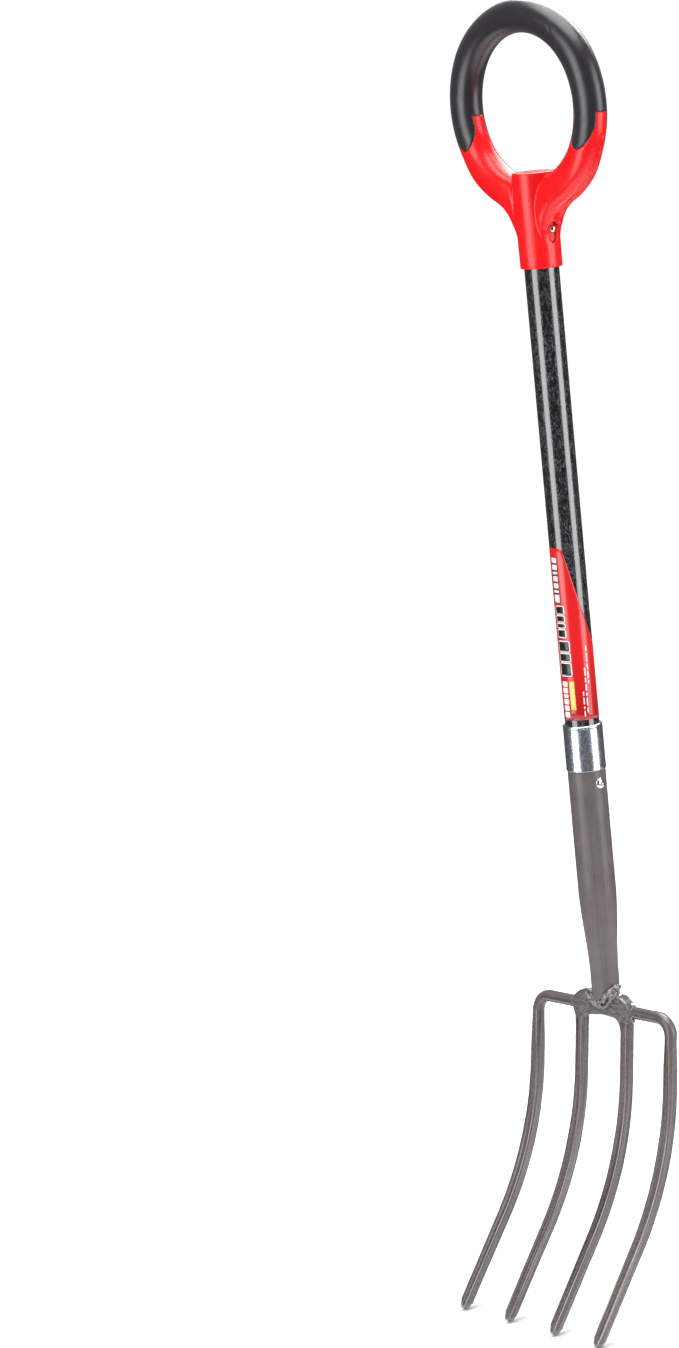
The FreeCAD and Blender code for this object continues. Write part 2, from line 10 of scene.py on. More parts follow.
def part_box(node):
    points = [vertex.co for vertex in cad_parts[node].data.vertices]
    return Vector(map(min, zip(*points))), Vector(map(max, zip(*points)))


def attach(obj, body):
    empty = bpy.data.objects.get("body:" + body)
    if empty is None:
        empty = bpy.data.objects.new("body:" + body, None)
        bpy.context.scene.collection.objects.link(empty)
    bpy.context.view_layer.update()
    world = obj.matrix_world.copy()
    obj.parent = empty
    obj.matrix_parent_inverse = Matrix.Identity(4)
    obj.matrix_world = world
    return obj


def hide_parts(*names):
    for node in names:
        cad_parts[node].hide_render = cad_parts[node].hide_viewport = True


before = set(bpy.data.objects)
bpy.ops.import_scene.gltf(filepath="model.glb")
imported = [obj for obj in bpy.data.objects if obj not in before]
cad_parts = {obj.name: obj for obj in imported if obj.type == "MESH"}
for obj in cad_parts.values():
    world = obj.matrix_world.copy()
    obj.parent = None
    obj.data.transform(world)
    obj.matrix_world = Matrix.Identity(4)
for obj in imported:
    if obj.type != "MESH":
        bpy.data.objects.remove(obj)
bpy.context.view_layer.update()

# Garden digging fork. Metres, +Z up along the shaft, X across the ring and the tines, tines curve to -Y.
# The origin is the centre of the ring handle.

MM = 0.001


# ---------------------------------------------------------------- sizes read from the frame

def node_low(node):
    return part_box(node)[0]


def node_high(node):
    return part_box(node)[1]


SHAFT_RADIUS = node_high("shaft_tube").x
SHAFT_TOP = node_high("shaft_tube").z
SHAFT_BOTTOM = node_low("shaft_tube").z
FERRULE_RADIUS = node_high("ferrule_collar").x
FERRULE_TOP = node_high("ferrule_collar").z
FERRULE_BOTTOM = node_low("ferrule_collar").z
SOCKET_RADIUS = node_high("steel_socket").x
SOCKET_TOP = node_high("steel_socket").z
SOCKET_BOTTOM = node_low("steel_socket").z
LABEL_TOP = node_high("shaft_label").z
LABEL_BOTTOM = node_low("shaft_label").z
TIP_HEIGHT = node_low("outer_tine_bow").z
RING_OUTER = node_high("grip_overmould").x
RING_AXIAL = node_high("grip_overmould").y

# Sizes of the ring and the head that a box can't tell.
RING_RADIUS = 73.6 * MM
CROSSBAR_HEIGHT = -754.6 * MM
CROSSBAR_FORWARD = 4.3 * MM
CROSSBAR_WIDTH = 9.8 * MM
CROSSBAR_BEND = 14.3 * MM
ROUND_CORNER = 0.46            # corner radius as a share of the width, for a bar that is nearly round
SETTLE = 32 * MM               # length over which the round crossbar becomes a square tine
OUTER_TINE = 80.5 * MM
OUTER_SPLAY = 1.5 * MM
INNER_TINE = 27.2 * MM
INNER_SPLAY = 0.8 * MM
INNER_SHIFT = 1.4 * MM
TINE_TOP_WIDTH = 10.2 * MM
INNER_LOW_WIDTH = 8.5 * MM
OUTER_LOW_WIDTH = 7.8 * MM
NUB_SHARE = 0.86               # width of the blunt nub at a tine's end, as a share of the tine
TINE_POINT = 6.5 * MM
TINE_LEAN = math.radians(8.0)
TINE_SLOPE = math.radians(38.5)
CURVE_TOP = -810.4 * MM
CURVE_BOTTOM = -934.4 * MM
TAPER_START = -656.9 * MM
TAPER_END = -721.0 * MM
SOCKET_END_RADIUS = 12.1 * MM
PLATE_FRONT = -10.4 * MM
PLATE_BOTTOM = -761.5 * MM
PLATE_GRAIN = np.array([1.2, 1.0, 24.0])
SHAFT_WALL = 3.6 * MM
SOCKET_WALL = 1.6 * MM

# Sizes of the faces in the skins that are remeshed.
YOKE_VOXEL = 0.68 * MM
GRIP_VOXEL = 0.8 * MM
HEAD_VOXEL = 0.55 * MM
WELD_VOXEL = 0.32 * MM


# ---------------------------------------------------------------- mesh helpers

def add_object(name, data):
    obj = bpy.data.objects.new(name, data)
    bpy.context.scene.collection.objects.link(obj)
    return obj


def mesh_object(name, points, faces):
    mesh = bpy.data.meshes.new(name)
    mesh.from_pydata([tuple(point) for point in points], [], faces)
    mesh.validate()
    obj = add_object(name, mesh)
    shade_smooth(obj)
    return obj


def shade_smooth(obj):
    obj.data.polygons.foreach_set("use_smooth", [True] * len(obj.data.polygons))


def mesh_points(obj, field="co"):
    flat = np.zeros(len(obj.data.vertices) * 3)
    obj.data.vertices.foreach_get(field, flat)
    return flat.reshape(-1, 3)


def mesh_normals(obj):
    return mesh_points(obj, "normal")


def set_points(obj, points):
    obj.data.vertices.foreach_set("co", np.ascontiguousarray(points, dtype=np.float32).ravel())
    obj.data.update()


@contextmanager
def opened(mesh):
    """The mesh as an editable bmesh, stored again at the end."""
    work = bmesh.new()
    work.from_mesh(mesh)
    yield work
    work.to_mesh(mesh)
    work.free()


def join(name, objects):
    """One object that holds the meshes of several."""
    mesh = bpy.data.meshes.new(name)
    with opened(mesh) as whole:
        for obj in objects:
            whole.from_mesh(obj.data)
            bpy.data.objects.remove(obj)
    return add_object(name, mesh)


def apply_modifiers(obj):
    graph = bpy.context.evaluated_depsgraph_get()
    mesh = bpy.data.meshes.new_from_object(obj.evaluated_get(graph))
    obj.modifiers.clear()
    obj.data = mesh
    shade_smooth(obj)


def remesh(obj, voxel, smooth_steps, smooth_factor=0.5):
    """One closed skin of even small faces, with its edges slightly rounded."""
    skin = obj.modifiers.new("skin", "REMESH")
    skin.mode = "VOXEL"
    skin.voxel_size = voxel
    if smooth_steps:
        soft = obj.modifiers.new("soft", "SMOOTH")
        soft.iterations = smooth_steps
        soft.factor = smooth_factor
    apply_modifiers(obj)


def copy_of_node(node, name):
    obj = add_object(name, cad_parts[node].data.copy())
    with opened(obj.data) as welded:
        bmesh.ops.remove_doubles(welded, verts=welded.verts, dist=1e-6)
    return obj


def smooth_step(value, low, high):
    share = np.clip((value - low) / (high - low), 0, 1)
    return share * share * (3 - 2 * share)


def bumps(points, scale, seed, octaves):
    """Fractal noise, about -1 to 1, at each point; scale is the size of its bumps."""
    shift = Vector((seed, 1.7 * seed, -2.3 * seed))
    return np.array([noise.fractal(Vector(point) / scale + shift, 1.0, 2.0, octaves) for point in points])


def hollows(points, scale, seed, octaves=3):
    """Smooth random depths between 0 and 1, one for each point."""
    return np.clip(0.5 + 0.5 * bumps(points, scale, seed, octaves), 0, 1)


def circle_steps(count):
    """Angles evenly spaced round a circle."""
    return [2 * math.pi * step / count for step in range(count)]


def tube_faces(rings, count, closed=False):
    """Faces between rings of count points. Closed joins last to first; otherwise both ends are capped."""
    faces = []
    if not closed:
        faces = [tuple(reversed(range(count))), tuple(range((rings - 1) * count, rings * count))]
    for ring in range(rings if closed else rings - 1):
        low, high = ring * count, (ring + 1) % rings * count
        for step in range(count):
            beside = (step + 1) % count
            faces.append((low + step, low + beside, high + beside, high + step))
    return faces


def lathe(name, profile, segments=128):
    """A piece turned about the shaft's axis; the profile is a closed list of (radius, height)."""
    points = [(radius * math.cos(turn), radius * math.sin(turn), height)
              for radius, height in profile for turn in circle_steps(segments)]
    return mesh_object(name, points, tube_faces(len(profile), segments, closed=True))


def axis_distance(points):
    return np.hypot(points[:, 0], points[:, 1])


def draw_in(points, radius, amount):
    """Moves points towards the shaft's axis, given how far from it they began."""
    points[:, :2] *= (1 - amount / radius)[:, None]


def rounded_profile(corners, steps=6):
    """Rounds each corner of a closed profile; a corner is (radius, height, rounding)."""
    spots = []
    for number, (radius, height, rounding) in enumerate(corners):
        here = Vector((radius, height))
        before = Vector(corners[number - 1][:2]) - here
        after = Vector(corners[(number + 1) % len(corners)][:2]) - here
        if rounding <= 0:
            spots.append(tuple(here))
            continue
        start = here + before.normalized() * min(rounding, 0.49 * before.length)
        end = here + after.normalized() * min(rounding, 0.49 * after.length)
        for step in range(steps + 1):
            share = step / steps
            spots.append(tuple(start.lerp(here, share).lerp(here.lerp(end, share), share)))
    return spots


def fine_profile(profile, longest):
    """The same closed profile with no step longer than longest."""
    fine = []
    for number, start in enumerate(profile):
        end = profile[(number + 1) % len(profile)]
        gap = math.dist(start, end)
        pieces = max(1, math.ceil(gap / longest))
        for piece in range(pieces):
            share = piece / pieces
            fine.append((start[0] + share * (end[0] - start[0]), start[1] + share * (end[1] - start[1])))
    return fine


def finish_piece(obj, material, slot, *nodes):
    """Gives a piece its material and body and hides the CAD nodes it stands for."""
    obj.data.materials.clear()
    obj.data.materials.append(material)
    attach(obj, "root")
    if nodes:
        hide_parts(*nodes)
    return obj


# ---------------------------------------------------------------- material helpers

class Surface:
    """A Principled material under construction, with short ways to add the nodes it needs."""

    def __init__(self, name, **sockets):
        self.material = bpy.data.materials.new(name)
        self.material.use_nodes = True
        self.tree = self.material.node_tree
        self.shader = self.tree.nodes["Principled BSDF"]
        self.position = self.node("ShaderNodeTexCoord").outputs["Object"]
        for socket, value in sockets.items():
            self.shader.inputs[socket.replace("_", " ")].default_value = value

    def node(self, kind, sockets=(), **settings):
        """A new node. Sockets maps its inputs to values, or to the outputs that feed them."""
        made = self.tree.nodes.new(kind)
        for setting, value in settings.items():
            setattr(made, setting, value)
        for socket, value in dict(sockets).items():
            if isinstance(value, bpy.types.NodeSocket):
                self.tree.links.new(value, made.inputs[socket])
            else:
                made.inputs[socket].default_value = value
        return made

    def feed(self, source, socket):
        self.tree.links.new(source, self.shader.inputs[socket])

    def attribute(self, name, output="Vector"):
        return self.node("ShaderNodeAttribute", attribute_name=name).outputs[output]

    def parts(self, vector):
        return self.node("ShaderNodeSeparateXYZ", {"Vector": vector}).outputs

    def height(self, low, high):
        """Rises from 0 at the height low to 1 at the height high."""
        limits = {"Value": self.parts(self.position)["Z"], "From Min": low, "From Max": high}
        return self.node("ShaderNodeMapRange", limits).outputs["Result"]

    def scaled(self, vector, scale, turn=(0.0, 0.0, 0.0)):
        made = self.node("ShaderNodeMapping", {"Vector": vector, "Scale": scale, "Rotation": turn})
        return made.outputs["Vector"]

    def noise(self, vector, scale, detail=3.0, roughness=0.5, distortion=0.0):
        made = self.node("ShaderNodeTexNoise", {"Vector": vector, "Scale": scale, "Detail": detail,
                                                "Roughness": roughness, "Distortion": distortion})
        return made.outputs["Fac"]

    def cells(self, vector, scale):
        return self.node("ShaderNodeTexVoronoi", {"Vector": vector, "Scale": scale}).outputs["Distance"]

    def ramp(self, value, *stops):
        """Colours or greys along the value; a stop is (place, colour or grey)."""
        made = self.node("ShaderNodeValToRGB", {"Fac": value})
        elements = made.color_ramp.elements
        while len(elements) < len(stops):
            elements.new(1.0)
        for element, (place, colour) in zip(elements, stops):
            element.position = place
            element.color = (*colour, 1.0) if isinstance(colour, tuple) else (colour, colour, colour, 1.0)
        return made.outputs["Color"]

    def math(self, operation, first, second=0.5):
        return self.node("ShaderNodeMath", {0: first, 1: second}, operation=operation).outputs["Value"]

    def mix(self, share, first, second):
        """A colour between first and second, each a colour or a socket."""
        first, second = ((*value, 1.0) if isinstance(value, tuple) else value for value in (first, second))
        factor, a_colour, b_colour, result = 0, 6, 7, 2     # places of the mix node's colour sockets
        made = self.node("ShaderNodeMix", data_type="RGBA",
                         sockets={factor: share, a_colour: first, b_colour: second})
        return made.outputs[result]

    def bump(self, *layers):
        """Bump layers, each (height socket, depth in metres, strength)."""
        below = {}
        for height, depth, strength in layers:
            sockets = {"Height": height, "Distance": depth, "Strength": strength, **below}
            made = self.node("ShaderNodeBump", sockets)
            below = {"Normal": made.outputs["Normal"]}
        self.feed(below["Normal"], "Normal")


# ---------------------------------------------------------------- materials

def red_plastic():
    """Glossy moulded red plastic with faint flow marks and a fine orange-peel skin."""
    surface = Surface("red_plastic", IOR=1.5)
    flow = surface.noise(surface.position, 28.0, 4.0, 0.55, 0.6)
    surface.feed(surface.ramp(flow, (0.3, (0.84, 0.004, 0.007)), (0.7, (0.92, 0.008, 0.011))), "Base Color")
    gloss = surface.noise(surface.position, 90.0, 3.0)
    surface.feed(surface.ramp(gloss, (0.35, 0.25), (0.7, 0.34)), "Roughness")
    fine = surface.noise(surface.position, 1400.0, 2.0)
    broad = surface.noise(surface.position, 120.0, 2.0)
    surface.bump((broad, 0.04 * MM, 0.25), (fine, 0.02 * MM, 0.4))
    return surface.material


def soft_grip():
    """Satin thermoplastic rubber: charcoal, a fine spark-eroded pebble and hardly any colour change."""
    surface = Surface("soft_grip", IOR=1.6, Sheen_Weight=0.15, Sheen_Roughness=0.45)
    patch = surface.noise(surface.position, 35.0, 4.0, 0.6)
    tone = surface.ramp(patch, (0.3, (0.0150, 0.0125, 0.0175)), (0.75, (0.022, 0.0185, 0.0255)))
    surface.feed(tone, "Base Color")
    gloss = surface.noise(surface.position, 160.0, 4.0)
    surface.feed(surface.ramp(gloss, (0.3, 0.28), (0.75, 0.37)), "Roughness")
    pebble = surface.cells(surface.position, 1500.0)
    soft = surface.noise(surface.position, 260.0, 3.0)
    surface.bump((soft, 0.05 * MM, 0.3), (pebble, 0.03 * MM, 0.45))
    return surface.material


def black_composite():
    """Black resin shaft: chopped grey fibres swirl under a clear gloss coat."""
    surface = Surface("black_composite", IOR=1.7, Coat_Weight=0.7, Coat_IOR=1.85, Coat_Roughness=0.07)
    swirl = surface.noise(surface.scaled(surface.position, (1.0, 1.0, 0.5)), 300.0, 5.0, 0.72, 1.6)
    strands = [surface.noise(surface.scaled(surface.position, (1.0, 1.0, 0.2), turn), scale, 4.0, 0.7, 1.2)
               for turn, scale in (((0.5, 0.3, 0.0), 950.0), ((-0.6, 0.2, 0.0), 850.0))]
    flecks = surface.ramp(surface.math("MAXIMUM", *strands), (0.54, 0.0), (0.66, 1.0))
    clouds = surface.ramp(swirl, (0.46, 0.0), (0.60, 1.0))
    share = surface.math("MULTIPLY", flecks, clouds)
    share = surface.math("ADD", share, surface.math("MULTIPLY", clouds, 0.16))
    surface.feed(surface.mix(share, (0.0025, 0.0023, 0.0036), (0.17, 0.17, 0.20)), "Base Color")
    surface.feed(surface.ramp(clouds, (0.0, 0.17), (1.0, 0.40)), "Roughness")
    surface.bump((swirl, 0.05 * MM, 0.35), (flecks, 0.02 * MM, 0.5))
    return surface.material


def gloss_film(name, roughness):
    """Clear-coated film with slight waves; its ink comes after."""
    surface = Surface(name, Roughness=roughness, IOR=1.5, Coat_Weight=0.5, Coat_Roughness=0.12)
    waves = surface.noise(surface.scaled(surface.position, (1.0, 1.0, 0.5)), 160.0, 2.0)
    surface.bump((waves, 0.04 * MM, 0.3))
    return surface


def film_colour(name, first, second):
    """Film printed in one ink, with a faint printed grain."""
    surface = gloss_film(name, 0.3)
    grain = surface.noise(surface.position, 900.0, 3.0)
    surface.feed(surface.ramp(grain, (0.3, first), (0.7, second)), "Base Color")
    return surface.material


def label_red():
    """Red film that deepens towards its foot."""
    surface = gloss_film("label_red", 0.28)
    rise = surface.height(LABEL_BOTTOM, LABEL_BOTTOM + 60 * MM)
    surface.feed(surface.ramp(rise, (0.0, (0.42, 0.003, 0.006)), (0.45, (0.60, 0.006, 0.010)),
                              (1.0, (0.72, 0.010, 0.014))), "Base Color")
    return surface.material


def plated_steel():
    """Bright zinc plate: bluish, mottled, with fine lengthwise draw marks."""
    surface = Surface("plated_steel", Metallic=1.0)
    mottle = surface.noise(surface.scaled(surface.position, (1.0, 1.0, 0.5)), 260.0, 5.0, 0.68, 1.4)
    surface.feed(surface.ramp(mottle, (0.34, (0.62, 0.70, 0.92)), (0.50, (0.82, 0.89, 1.0)),
                              (0.66, (0.96, 0.99, 1.0))), "Base Color")
    surface.feed(surface.ramp(mottle, (0.3, 0.34), (0.7, 0.16)), "Roughness")
    drawn = surface.noise(surface.scaled(surface.position, (1.0, 1.0, 0.03)), 900.0, 3.0)
    dents = surface.noise(surface.scaled(surface.position, (1.0, 1.0, 0.3)), 95.0, 3.0)
    surface.bump((dents, 0.30 * MM, 0.4), (drawn, 0.02 * MM, 0.35), (mottle, 0.05 * MM, 0.4))
    return surface.material


def rivet_steel():
    """Bright rivet steel with light handling marks."""
    surface = Surface("rivet_steel", Metallic=1.0)
    marks = surface.noise(surface.position, 900.0, 4.0, 0.6)
    surface.feed(surface.ramp(marks, (0.3, (0.66, 0.66, 0.68)), (0.7, (0.86, 0.86, 0.87))), "Base Color")
    surface.feed(surface.ramp(marks, (0.3, 0.24), (0.7, 0.12)), "Roughness")
    surface.bump((surface.noise(surface.position, 500.0, 3.0), 0.06 * MM, 0.35))
    return surface.material


def ridge_highlight_and_shade(surface, where):
    """A painted highlight along each corner of the lower tines and a painted shade line beside it, with
    lengthwise drawn marks from the die.
    """
    split = surface.parts(where)
    across, deep = (surface.math("ABSOLUTE", split[axis]) for axis in ("X", "Y"))
    smaller = surface.math("MINIMUM", across, deep)
    corner = surface.math("DIVIDE", smaller, surface.math("MAXIMUM", across, deep))
    patches = surface.noise(surface.scaled(where, (1.0, 1.0, 0.12)), 200.0, 3.0)
    share = surface.math("MULTIPLY", surface.height(RIDGE_TOP, RIDGE_FULL),
                         surface.ramp(patches, (0.3, 0.25), (0.6, 1.0)))
    drawn = surface.noise(surface.scaled(where, (1.0, 1.0, 0.004)), 900.0, 1.0)
    # Painted highlight along each corner, plus pale drawn marks.
    pale = surface.math("MAXIMUM", surface.ramp(corner, (0.84, 0.0), (0.92, 1.0)),
                        surface.ramp(drawn, (0.58, 0.0), (0.66, 0.6)))
    # Painted shade line a little in from each corner, beside the highlight, plus dark drawn marks.
    painted_shade_line = surface.ramp(corner, (0.56, 0.0), (0.66, 1.0), (0.76, 1.0), (0.83, 0.0))
    dark = surface.math("MAXIMUM", painted_shade_line, surface.ramp(drawn, (0.34, 0.8), (0.44, 0.0)))
    return surface.math("MULTIPLY", pale, share), surface.math("MULTIPLY", dark, share)


def steel_paint(name, rough_low, rough_high, lump_depth, place="", drawn_depth=0.0, streak_share=0.0,
                shade=1.0, ior=1.6):
    """Taupe enamel over steel, worn bare in places. Place names the space that lengthwise marks follow; where
    it is given, the lower tines also get a painted corner highlight and a painted shade line.
    """

    def tint(*colour):
        return tuple(shade * value for value in colour)

    surface = Surface(name, IOR=ior)
    where = surface.attribute(place) if place else surface.position
    tone = surface.noise(where, 60.0, 5.0, 0.6)
    streak = surface.noise(surface.scaled(where, (1.0, 1.0, 0.012)), 560.0, 3.0, 0.55)
    paint = surface.ramp(tone, (0.3, tint(0.066, 0.054, 0.053)), (0.7, tint(0.086, 0.072, 0.071)))
    light_streaks = surface.ramp(streak, (0.38, 0.0), (0.62, streak_share))
    paint = surface.mix(light_streaks, paint, tint(0.155, 0.136, 0.132))
    dark_streaks = surface.ramp(streak, (0.32, streak_share), (0.47, 0.0))
    paint = surface.mix(dark_streaks, paint, tint(0.016, 0.013, 0.012))
    if place:
        pale, dark = ridge_highlight_and_shade(surface, where)
        # Lower tines only: the colours of the painted shade line and of the painted corner highlight.
        paint = surface.mix(surface.math("MULTIPLY", dark, 0.75), paint, tint(0.014, 0.011, 0.011))
        paint = surface.mix(surface.math("MULTIPLY", pale, 0.85), paint, tint(0.40, 0.37, 0.36))
    ragged = surface.math("MULTIPLY", surface.noise(where, 700.0, 4.0, 0.7), 0.6)
    bite = surface.math("ADD", surface.attribute("wear", "Fac"), ragged)
    bare = surface.ramp(bite, (0.98, 0.0), (1.04, 1.0))
    surface.feed(surface.mix(bare, paint, (0.20, 0.19, 0.187)), "Base Color")
    surface.feed(surface.math("MULTIPLY", bare, 0.3), "Metallic")
    gloss = surface.noise(where, 240.0, 3.0)
    surface.feed(surface.ramp(gloss, (0.3, rough_low), (0.7, rough_high)), "Roughness")
    peel = surface.noise(where, 1100.0, 2.0)
    lumps = surface.noise(where, 190.0, 4.0, 0.55)
    surface.bump((lumps, lump_depth, 0.5), (streak, drawn_depth, 0.5), (peel, 0.03 * MM, 0.35))
    return surface.material


# Heights between which the painted corner highlight and shade lines fade in down the tines.
RIDGE_TOP = -800 * MM
RIDGE_FULL = -865 * MM
RED_PLASTIC = red_plastic()
SOFT_GRIP = soft_grip()
BLACK_COMPOSITE = black_composite()
LABEL_RED = label_red()
LABEL_WHITE = film_colour("label_white", (0.80, 0.79, 0.78), (0.86, 0.86, 0.85))
LABEL_BLACK = film_colour("label_black", (0.010, 0.009, 0.010), (0.016, 0.015, 0.016))
LABEL_YELLOW = film_colour("label_yellow", (0.86, 0.60, 0.10), (0.92, 0.68, 0.14))
PLATED_STEEL = plated_steel()
RIVET_STEEL = rivet_steel()
# The tine paint carries the painted corner highlight and shade line, through its place.
TINE_PAINT = steel_paint("tine_paint", 0.22, 0.34, 0.08 * MM, "straight", 0.10 * MM, 0.6)
SOCKET_PAINT = steel_paint("socket_paint", 0.30, 0.42, 0.05 * MM, "", 0.03 * MM, 0.12, shade=1.45)
# The weld paint is the same enamel made 1.6 times lighter, a painted highlight for the shiny beads.
WELD_PAINT = steel_paint("weld_paint", 0.26, 0.42, 0.05 * MM, shade=1.6, ior=2.0)


# ---------------------------------------------------------------- ring handle

RING_CUT = 3.5 * MM
ARM_FOOT_RADIUS = 16.8 * MM
ARM_FOOT = -113.0 * MM


def square_up_arms(points):
    """Makes the arms' oval section fuller where they sweep into the socket, so their faces are flatter."""
    thick = RING_AXIAL
    full = 13.3 * MM
    power = 2.7
    inside = np.clip(np.abs(points[:, 1]) / thick, 0, 1)
    fuller = full * (1 - (1 - inside ** 2) ** (power / 2)) ** (1 / power)
    weight = smooth_step(-points[:, 2], 36 * MM, 62 * MM)
    weight *= 1 - smooth_step(-points[:, 2], 104 * MM, 116 * MM)
    weight *= smooth_step(np.hypot(points[:, 0], points[:, 1]), 18.0 * MM, 20.5 * MM)
    points[:, 1] += weight * (np.sign(points[:, 1]) * fuller - points[:, 1])


def cut_arm_channels(points, normals):
    """A shallow round-ended channel runs down the outside of each arm to the rivet's recess."""
    outer = RING_OUTER
    hollow = (ARM_FOOT_RADIUS ** 2 + ARM_FOOT ** 2 - outer ** 2) / (2 * (outer - ARM_FOOT_RADIUS))
    centre_x = ARM_FOOT_RADIUS + hollow
    across = np.abs(points[:, 0])
    from_ring = outer - np.hypot(across, points[:, 2])
    from_hollow = np.hypot(across - centre_x, points[:, 2] - ARM_FOOT) - hollow
    under = np.where(points[:, 2] > -79 * MM, from_ring, from_hollow)
    outside = (np.abs(under) < 4.5 * MM) & (points[:, 2] < -20 * MM) & (points[:, 2] > -98 * MM)
    outside &= np.abs(normals[:, 1]) < 0.75
    fade = smooth_step(points[:, 2], -93 * MM, -86 * MM)
    top = -29.5 * MM
    half = 3.7 * MM
    over = np.maximum(points[:, 2] - top, 0)
    beside = np.hypot(points[:, 1], over)
    depth = 1.7 * MM * (1 - smooth_step(beside, half - 0.45 * MM, half + 0.1 * MM)) * outside * fade
    points -= normals * depth[:, None]


def make_yoke():
    """The red yoke: rounded from the design's solid, then given fuller arms and their channels."""
    yoke = copy_of_node("handle_core", "yoke")
    with opened(yoke.data) as cut:
        geometry = cut.verts[:] + cut.edges[:] + cut.faces[:]
        bmesh.ops.bisect_plane(cut, geom=geometry, plane_co=(0, 0, RING_CUT), plane_no=(0, 0, 1),
                               clear_outer=True)
        bmesh.ops.holes_fill(cut, edges=[edge for edge in cut.edges if edge.is_boundary])
    remesh(yoke, YOKE_VOXEL, 2, 0.6)
    points = mesh_points(yoke)
    square_up_arms(points)
    set_points(yoke, points)
    cut_arm_channels(points, mesh_normals(yoke))
    set_points(yoke, points)
    return finish_piece(yoke, RED_PLASTIC, "red_plastic", "handle_core")


TOP_EASE = 1.7 * MM             # the ring is a little flatter at its top


def make_grip():
    """The soft grip with its moulding line round the outside and the mark of its moulding gate."""
    grip = copy_of_node("grip_overmould", "grip")
    remesh(grip, GRIP_VOXEL, 4)
    points = mesh_points(grip)
    normals = mesh_normals(grip)
    away = np.hypot(points[:, 0], points[:, 2])
    line = np.exp(-(points[:, 1] / (0.45 * MM)) ** 2) * (away > RING_RADIUS)
    points += normals * (0.05 * MM * line)[:, None]
    for first, last, lift in (((42.4, 70.2), (48.6, 58.9), -0.30), ((44.2, 69.9), (50.2, 59.3), 0.22)):
        start, end = np.array(first) * MM, np.array(last) * MM
        run = end - start
        flat = points[:, [0, 2]] - start
        share = np.clip(flat @ run / (run @ run), 0, 1)
        near = np.linalg.norm(flat - share[:, None] * run, axis=1)
        mark = lift * MM * np.exp(-(near / (0.8 * MM)) ** 2) * np.sin(math.pi * share) ** 0.5
        points += normals * (mark * (points[:, 1] < 0))[:, None]
    points[:, 1] = np.clip(points[:, 1], -RING_AXIAL, RING_AXIAL)
    points[:, 2] -= TOP_EASE * smooth_step(points[:, 2], 0.45 * RING_OUTER, RING_OUTER)
    set_points(grip, points)
    return finish_piece(grip, SOFT_GRIP, "soft_grip", "grip_overmould")


# ---------------------------------------------------------------- shaft and label

def make_shaft():
    inner = SHAFT_RADIUS - SHAFT_WALL
    edge = 0.4 * MM
    profile = rounded_profile([(inner, SHAFT_BOTTOM, 0), (SHAFT_RADIUS, SHAFT_BOTTOM, edge),
                               (SHAFT_RADIUS, SHAFT_TOP, edge), (inner, SHAFT_TOP, 0)])
    shaft = lathe("shaft", fine_profile(profile, 6 * MM))
    return finish_piece(shaft, BLACK_COMPOSITE, "black_composite", "shaft_tube")


# Places on the shaft are (turn, height): the turn is in radians from LABEL_FACE, positive to its right.
LABEL_FACE = math.radians(-39.0)
FILM = 0.15 * MM
LABEL_LEVEL = 0.31
LABEL_SHOULDER = LABEL_TOP - 83 * MM


def shaft_point(radius, turn, height):
    return (radius * math.cos(LABEL_FACE + turn), radius * math.sin(LABEL_FACE + turn), height)


def label_edge(turn):
    """The height of the label's upper edge: level on the left, then falling in a slant to the right."""
    share = 0.5 * (1 + math.sin(turn))
    fall = (share - LABEL_LEVEL) / (1 - LABEL_LEVEL)
    soft = 0.035
    fall = 0.5 * (fall + math.sqrt(fall * fall + soft * soft))
    return LABEL_TOP - min(fall, 1.0) * (LABEL_TOP - LABEL_SHOULDER)


def film_patch(name, radius, turns, lower, upper, thick, closed=False, rows=24):
    """A thin patch on the shaft: columns at the given turns, each from lower(turn) to upper(turn)."""
    points = []
    for turn in turns:
        low, high = lower(turn), upper(turn)
        heights = [low + (high - low) * row / rows for row in range(rows + 1)]
        points += [shaft_point(radius - thick, turn, height) for height in heights]
        points += [shaft_point(radius, turn, height) for height in reversed(heights)]
    return mesh_object(name, points, tube_faces(len(turns), 2 * (rows + 1), closed))


def make_label():
    label = film_patch("label", SHAFT_RADIUS + FILM, circle_steps(180), lambda turn: LABEL_BOTTOM, label_edge,
                       FILM - 0.01 * MM, closed=True)
    return finish_piece(label, LABEL_RED, "label_film", "shaft_label")


def printed_bar(left, right, bottom, top, corner, lift=1):
    """A rounded bar of ink. Left and right are lengths round the shaft, from the middle of its face."""
    radius = SHAFT_RADIUS + FILM
    half = 0.5 * (right - left)
    middle = 0.5 * (left + right)
    corner = min(corner, half, 0.5 * (top - bottom))
    count = 16
    turns = [(middle - half * math.cos(math.pi * step / count)) / radius for step in range(count + 1)]

    def inset(turn):
        over = abs(turn * radius - middle) - (half - corner)
        if over <= 0:
            return 0.0
        return corner - math.sqrt(max(corner * corner - over * over, 0.0))

    ink = 0.02 * MM
    return film_patch("bar", radius + lift * ink, turns, lambda turn: bottom + inset(turn),
                      lambda turn: top - inset(turn), 0.9 * ink, rows=6)


def block_row(left, right, bottom, top, lengths, gap, border=0.0, lift=1):
    """A row of plain rounded blocks up the shaft, sized by lengths, that fills bottom to top."""
    unit = (top - bottom - gap * (len(lengths) - 1)) / sum(lengths)
    made = []
    low = bottom
    for length in lengths:
        high = low + unit * length
        made.append(printed_bar(left - border, right + border, low - border, high + border,
                                0.9 * MM + border, lift))
        low = high + gap
    return made


